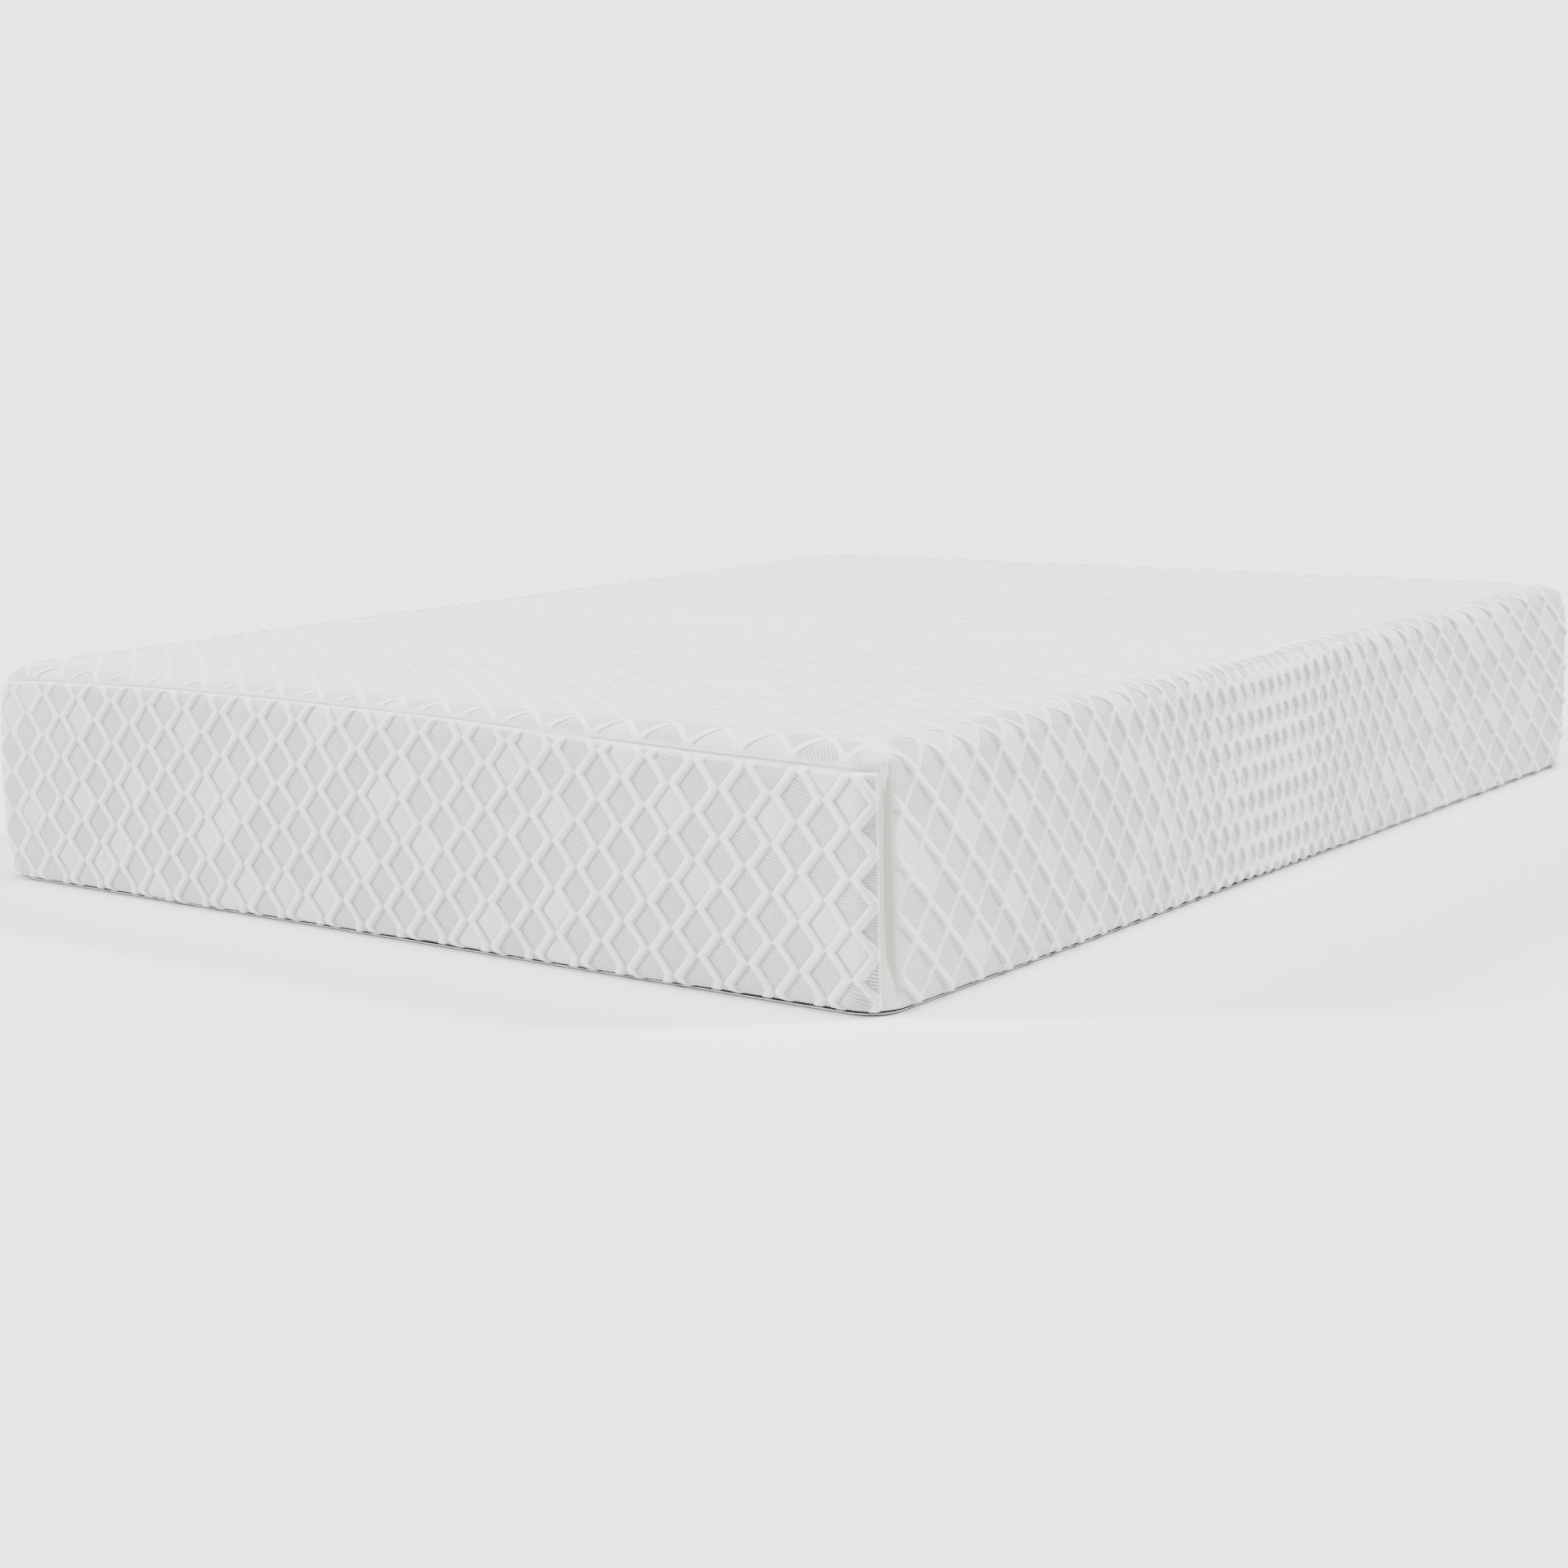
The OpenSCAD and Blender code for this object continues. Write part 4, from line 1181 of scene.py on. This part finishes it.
def tape(name, node, s):
    """Woven tape: a thin band along the coil, one face with a slight ripple."""
    lo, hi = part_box(node)
    z_in, z_out = (lo[2], hi[2]) if s > 0 else (hi[2], lo[2])
    us = np.linspace(0, 1, 13)
    z = z_in + (z_out - z_in) * us
    n = 240
    x = np.linspace(-0.7150, 0.7150, n)
    rise = 0.00012 * np.sin(us * 40)
    Y1 = np.full(13, hi[1]) - 0.00005 + rise * 0.3
    Y0_ = np.full(13, lo[1])
    sec = np.concatenate([np.stack([Y1, z], -1), np.stack([Y0_, z], -1)[::-1]])
    V = np.stack([np.repeat(x[:, None], len(sec), 1), np.repeat(sec[None, :, 0], n, 0), np.repeat(sec[None, :, 1], n, 0)], -1)
    ids_ = np.arange(n * len(sec)).reshape(n, len(sec))
    ids_ = np.concatenate([ids_, ids_[:, :1]], 1)
    Fq = grid_faces(ids_)
    if s < 0:
        Fq = Fq[:, ::-1]
    ob = mesh_piece(name, V.reshape(-1, 3), Fq, TAPE, smooth=False)
    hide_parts(node)
    return ob


tape("zip_tape_upper", "zip_upper_tape", 1)
tape("zip_tape_lower", "zip_lower_tape", -1)


def bevelled(name, boxes, mat, body, bevel=0.0003, segs=3, cyl=()):
    """Boxes and cylinders as one object, each edge rounded."""
    import bmesh
    bm = bmesh.new()
    for lo, hi in boxes:
        r = bmesh.ops.create_cube(bm, size=1)
        for v in r["verts"]:
            v.co = Vector([(lo[i] + hi[i]) / 2 + v.co[i] * (hi[i] - lo[i]) for i in range(3)])
    for c, rad_, h, axis in cyl:
        r = bmesh.ops.create_cone(bm, cap_ends=True, segments=24, radius1=rad_, radius2=rad_, depth=h)
        rot = {"Z": Matrix(), "Y": Matrix.Rotation(math.pi / 2, 4, "X"), "X": Matrix.Rotation(math.pi / 2, 4, "Y")}[axis]
        for v in r["verts"]:
            v.co = rot @ v.co + Vector(c)
    me = bpy.data.meshes.new(name)
    bm.to_mesh(me)
    bm.free()
    ob = link(bpy.data.objects.new(name, me))
    md = ob.modifiers.new("bevel", "BEVEL")
    md.width, md.segments, md.limit_method = bevel, segs, "ANGLE"
    md.angle_limit = math.radians(40)
    me.polygons.foreach_set("use_smooth", np.ones(len(me.polygons), bool))
    me.materials.append(mat)
    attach(ob, body)
    return ob


sl_lo, sl_hi = list(map(float, sl_lo)), list(map(float, sl_hi))
sx = (sl_lo[0] + sl_hi[0]) / 2
in_y0, out_y1 = sl_lo[1], sl_hi[1]            # back of the inner plate, tip of the bridge
plate = 0.0014
out_y0 = float(zu_hi[1]) + 0.0003
coil_face = float(zu_lo[1])


def slider_plate(y0, y1, hw0, hw1, name=None):
    """Outline of one plate: wide at the mouth, waisted, rounded at the tail. Seen from outside."""
    h = (sl_hi[0] - sl_lo[0]) / 2
    w = (sl_hi[2] - sl_lo[2]) / 2
    xs = np.linspace(-1, 1, 25)
    half = w * (0.97 - 0.10 * np.clip(xs, 0, 1) ** 2 * 1.0)
    half = half * np.power(np.clip(1 - np.abs(xs) ** 9, 0.0, 1), 0.5)
    half[0] = half[-1] = w * 0.45
    return xs * h, half, y0, y1


def plate_mesh(bm, y0, y1):
    xs, half, _, _ = slider_plate(y0, y1, 0, 0)
    loop = [(x, w_) for x, w_ in zip(xs, half)] + [(x, -w_) for x, w_ in zip(xs[::-1], half[::-1])]
    lo_v = [bm.verts.new((sx + x, y0, ZC + z)) for x, z in loop]
    hi_v = [bm.verts.new((sx + x, y1, ZC + z)) for x, z in loop]
    n = len(loop)
    bm.faces.new(lo_v)
    bm.faces.new(hi_v[::-1])
    for i in range(n):
        bm.faces.new((lo_v[(i + 1) % n], lo_v[i], hi_v[i], hi_v[(i + 1) % n]))


def make_slider():
    import bmesh
    bm = bmesh.new()
    plate_mesh(bm, out_y0, out_y0 + plate)
    plate_mesh(bm, in_y0, in_y0 + plate)
    w = (sl_hi[2] - sl_lo[2]) / 2

    def box_(lo, hi):
        r = bmesh.ops.create_cube(bm, size=1)
        for v in r["verts"]:
            v.co = Vector([(lo[i] + hi[i]) / 2 + v.co[i] * (hi[i] - lo[i]) for i in range(3)])
    for s in (-1, 1):
        z0, z1 = sorted((ZC + s * (w - 0.0009), ZC + s * w * 0.985))
        box_((sx - 0.0053, coil_face + 0.0003, z0), (sx + 0.0053, out_y0 + 0.0002, z1))
    box_((sl_lo[0] + 0.0004, in_y0 + 0.0005, ZC - 0.0003), (sl_lo[0] + 0.0040, out_y0 + 0.0005, ZC + 0.0003))
    # the bridge: an arch along the slider
    py = out_y0 + plate
    top = out_y1 - py
    arch = []
    for i in range(17):
        t = math.pi * i / 16
        arch.append((math.cos(t) * 0.0045, math.sin(t) ** 0.55 * top))
    inner = [(x * 0.52, max(0.0, y - 0.0009) if 0 < i < 16 else 0.0) for i, (x, y) in enumerate(arch)]
    vs = []
    for z in (ZC - 0.001, ZC + 0.001):
        vs.append([bm.verts.new((sx + x, py - 0.0001 + y, z)) for x, y in arch]
                  + [bm.verts.new((sx + x, py - 0.0001 + y, z)) for x, y in inner[::-1]])
    a, b = vs
    n = len(a)
    for i in range(n):
        bm.faces.new((a[i], a[(i + 1) % n], b[(i + 1) % n], b[i]))
    m = len(arch)
    for i in range(m - 1):
        j = n - 1 - i
        bm.faces.new((a[i + 1], a[i], a[j], a[j - 1]))
        bm.faces.new((b[i], b[i + 1], b[j - 1], b[j]))
    bmesh.ops.recalc_face_normals(bm, faces=bm.faces)
    me = bpy.data.meshes.new("zip_slider_body")
    bm.to_mesh(me)
    bm.free()
    ob = link(bpy.data.objects.new("zip_slider_body", me))
    md = ob.modifiers.new("bevel", "BEVEL")
    md.width, md.segments, md.limit_method = 0.00025, 3, "ANGLE"
    md.angle_limit = math.radians(45)
    me.polygons.foreach_set("use_smooth", np.ones(len(me.polygons), bool))
    me.materials.append(METAL)
    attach(ob, "slider")
    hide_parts("zip_slider")
    return ob


make_slider()


def make_tab():
    """Blank pull: a cross pin, two arms and a rounded blade with a slot and a raised rim."""
    import bmesh
    lo, hi = list(map(float, tab_lo)), list(map(float, tab_hi))
    hinge = next(j for j in frame["joints"] if j["name"] == "pull_tab_hinge") if isinstance(frame["joints"], list) else frame["joints"]["pull_tab_hinge"]
    px_, py_, pz_ = (float(v) for v in hinge["pos_m"])
    x_end = hi[0]
    w = (hi[2] - lo[2]) / 2
    th_ = 0.0015
    bm = bmesh.new()

    def loop(scale, y, inset=0.0):
        out = []
        x0, x1 = px_ + 0.0078, x_end
        r = w - inset
        cxr = x1 - w
        for i in range(13):                   # round end
            t = -math.pi / 2 + math.pi * i / 12
            out.append((cxr + r * math.cos(t), pz_ + r * math.sin(t)))
        for i in range(1, 6):
            f = i / 5
            out.append((cxr + (x0 + inset - cxr) * f, pz_ + r * (1 - 0.16 * math.sin(math.pi * f))))
        for i in range(0, 5):
            f = 1 - i / 5
            out.append((cxr + (x0 + inset - cxr) * f, pz_ - r * (1 - 0.16 * math.sin(math.pi * f))))
        return [bm.verts.new((x, y, z)) for x, z in out]

    def slot_loop(y, r, x0, x1):
        out = []
        for i in range(13):
            t = -math.pi / 2 + math.pi * i / 12
            out.append((x1 - r + r * math.cos(t), pz_ + r * math.sin(t)))
        for i in range(1, 6):
            out.append((x1 - r + (x0 + r - x1 + r) * i / 5, pz_ + r))
        for i in range(0, 5):
            out.append((x1 - r + (x0 + r - x1 + r) * (1 - i / 5), pz_ - r))
        return [bm.verts.new((x, y, z)) for x, z in out]
    y_lo, y_hi = py_ - th_ / 2, py_ + th_ / 2
    rings = [loop(1, y_lo, 0.0003), loop(1, y_lo + 0.0003), loop(1, y_hi - 0.0003), loop(1, y_hi, 0.0003),
             loop(1, y_hi, 0.0010), loop(1, y_hi - 0.0003, 0.0012)]
    sl = [slot_loop(y_hi - 0.0003, 0.0011, px_ + 0.0145, x_end - 0.0030), slot_loop(y_lo + 0.0001, 0.0011, px_ + 0.0145, x_end - 0.0030)]
    seq = rings + sl + [rings[0]]
    n = len(rings[0])
    for a, b in zip(seq[:-1], seq[1:]):
        for i in range(n):
            bm.faces.new((a[i], a[(i + 1) % n], b[(i + 1) % n], b[i]))
    # arms
    for s in (-1, 1):
        r = bmesh.ops.create_cube(bm, size=1)
        lo_, hi_ = (px_ - 0.0005, py_ - 0.0007, pz_ + s * 0.0025 - 0.0006), (px_ + 0.0086, py_ + 0.0007, pz_ + s * 0.0025 + 0.0006)
        for v in r["verts"]:
            v.co = Vector([(lo_[i] + hi_[i]) / 2 + v.co[i] * (hi_[i] - lo_[i]) for i in range(3)])
    r = bmesh.ops.create_cone(bm, cap_ends=True, segments=20, radius1=0.00078, radius2=0.00078, depth=0.0062)
    for v in r["verts"]:
        v.co = v.co + Vector((px_, py_, pz_))
    bmesh.ops.recalc_face_normals(bm, faces=bm.faces)
    me = bpy.data.meshes.new("zip_pull")
    bm.to_mesh(me)
    bm.free()
    ob = link(bpy.data.objects.new("zip_pull", me))
    md = ob.modifiers.new("bevel", "BEVEL")
    md.width, md.segments, md.limit_method = 0.00015, 2, "ANGLE"
    md.angle_limit = math.radians(50)
    me.polygons.foreach_set("use_smooth", np.ones(len(me.polygons), bool))
    me.materials.append(METAL)
    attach(ob, "pull_tab")
    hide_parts("zip_pull_tab")
    return ob


make_tab()

# end stops: small crimped staples
st_lo, st_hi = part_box("zip_end_stops")
boxes = []
for x0, x1 in ((float(st_lo[0]) + 0.0004, float(st_lo[0]) + 0.0034), (float(st_hi[0]) - 0.0034, float(st_hi[0]) - 0.0004)):
    boxes.append(((x0, float(st_lo[1]) + 0.0001, float(st_lo[2])), (x1, float(st_hi[1]), float(st_hi[2]))))
stops = bevelled("zip_stops", boxes, METAL, "mattress", 0.0007, 4)
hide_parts("zip_end_stops")

# rolled hems on both sides of the zip


def hem(name, s):
    """The folded edge of the knit that lies on the zip tape."""
    row = J_HI if s > 0 else J_LO
    cols = side_cols(2)[0][c0:c1 + 1] % K
    edge = Q[wall_id[row, cols]]
    tape_face = float(tape_hi[1])
    prof = []
    y0_ = edge[:, 1]
    steps = 9
    V = [edge]
    for i in range(1, steps + 1):
        t = math.pi / 2 * i / steps
        depth = (y0_ - tape_face - 0.0002)
        V.append(np.stack([edge[:, 0], y0_ - depth * (1 - math.cos(t)), edge[:, 2] - s * 0.0016 * math.sin(t)], -1))
    back = V[-1]
    V.append(back + np.array([0, -0.0001, s * 0.004]))
    V.append(back + np.array([0, 0.0012, s * 0.011 if s > 0 else -0.0035]))
    V = np.stack(V)                           # (rows, n, 3)
    ids_ = np.arange(V.shape[0] * V.shape[1]).reshape(V.shape[0], V.shape[1])
    Fq = grid_faces(ids_)
    if s > 0:
        Fq = Fq[:, ::-1]
    n = V.shape[1]
    s_, t_ = np.meshgrid(edge[:, 0], np.arange(V.shape[0]) * 0.0012)
    ob = mesh_piece(name, V.reshape(-1, 3), Fq, HEM, {"fabric": uv_pair(s_, t_)})
    return ob


HEM = fabric_material("knit_hem", (0.79, 0.80, 0.81, 1), (0.68, 0.68, 0.67, 1), 0.0017)
for nm, s in (("hem_above_zip", 1), ("hem_below_zip", -1)):
    ob = hem(nm, s)


# labels: blank cloth tabs, curling out a little towards the bottom


def labels():
    lo, hi = (list(map(float, p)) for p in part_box("sewn_labels"))
    for name, x0, x1, z0, z1, seed in (("label_large", 0.360, 0.436, 0.070, 0.172, 21), ("label_small", 0.450, 0.507, 0.100, 0.1714, 22)):
        nx_, nz_ = 25, 33
        xs, zs = np.meshgrid(np.linspace(x0, x1, nx_), np.linspace(z0, z1, nz_))
        f = (z1 - zs) / (z1 - z0)
        curl = 0.0016 * f ** 3 + 0.0004 * np.sin(f * 9 + seed) * f
        y = 1.0162 + 0.0003 + curl
        front = np.stack([xs, y + 0.0002, zs], -1)
        backp = np.stack([xs, y - 0.0002, zs], -1)
        V = np.concatenate([front.reshape(-1, 3), backp.reshape(-1, 3)])
        a = np.arange(nx_ * nz_).reshape(nz_, nx_)
        b = a + nx_ * nz_
        Fq = [grid_faces(a)[:, ::-1], grid_faces(b)]
        rim = np.concatenate([a[0], a[1:, -1], a[-1, :-1][::-1], a[1:-1, 0][::-1]])
        rb_ = rim + nx_ * nz_
        nxt = np.roll(np.arange(len(rim)), -1)
        Fq.append(np.stack([rim, rim[nxt], rb_[nxt], rb_], -1))
        ob = mesh_piece(name, V, np.concatenate(Fq), LABEL)
    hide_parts("sewn_labels")


labels()

# ---------------------------------------------------------------- stage and light


def stage():
    me = bpy.data.meshes.new("floor")
    me.from_pydata([(-30, -30, -0.0005), (30, -30, -0.0005), (30, 30, -0.0005), (-30, 30, -0.0005)], [], [(0, 1, 2, 3)])
    ob = link(bpy.data.objects.new("floor", me))
    m = Nodes("floor_paint")
    n = m.noise(m.place(), 2.0, 2.0)
    m.set(Base_Color=m.mix(n, (0.82, 0.82, 0.82, 1), (0.81, 0.81, 0.81, 1)), Roughness=0.95, Specular_IOR_Level=0.1)
    me.materials.append(m.mat)
    ob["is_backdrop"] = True


stage()


def sun(name, toward, power, angle, col=(1, 1, 1)):
    """A large soft box so far off that it acts alike over the whole object. toward points at it."""
    d = bpy.data.lights.new(name, "SUN")
    d.energy, d.angle, d.color = power, math.radians(angle), col
    o = link(bpy.data.objects.new(name, d))
    o.rotation_euler = Vector(toward).to_track_quat("Z", "Y").to_euler()
    return o


world = bpy.data.worlds.new("studio")
bpy.context.scene.world = world
world.use_nodes = True
wt = world.node_tree
bg = wt.nodes["Background"]
bg.inputs[0].default_value = (0.95, 0.975, 1.0, 1)
bg.inputs[1].default_value = 0.18
back = wt.nodes.new("ShaderNodeBackground")
back.inputs[0].default_value = (1, 1, 1, 1)
back.inputs[1].default_value = 3.3
mixer = wt.nodes.new("ShaderNodeMixShader")
path = wt.nodes.new("ShaderNodeLightPath")
wt.links.new(path.outputs["Is Camera Ray"], mixer.inputs[0])
wt.links.new(bg.outputs[0], mixer.inputs[1])
wt.links.new(back.outputs[0], mixer.inputs[2])
wt.links.new(mixer.outputs[0], wt.nodes["World Output"].inputs["Surface"])
sun("key_left", (-0.76, -0.55, 0.42), 6.3, 9, (1, 0.995, 0.98))
sun("key_right", (0.60, 0.52, 0.61), 5.6, 7, (1, 0.975, 0.93))
sun("overhead", (0.05, -0.05, 1.0), 7.0, 25, (0.90, 0.965, 1))

lo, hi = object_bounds()
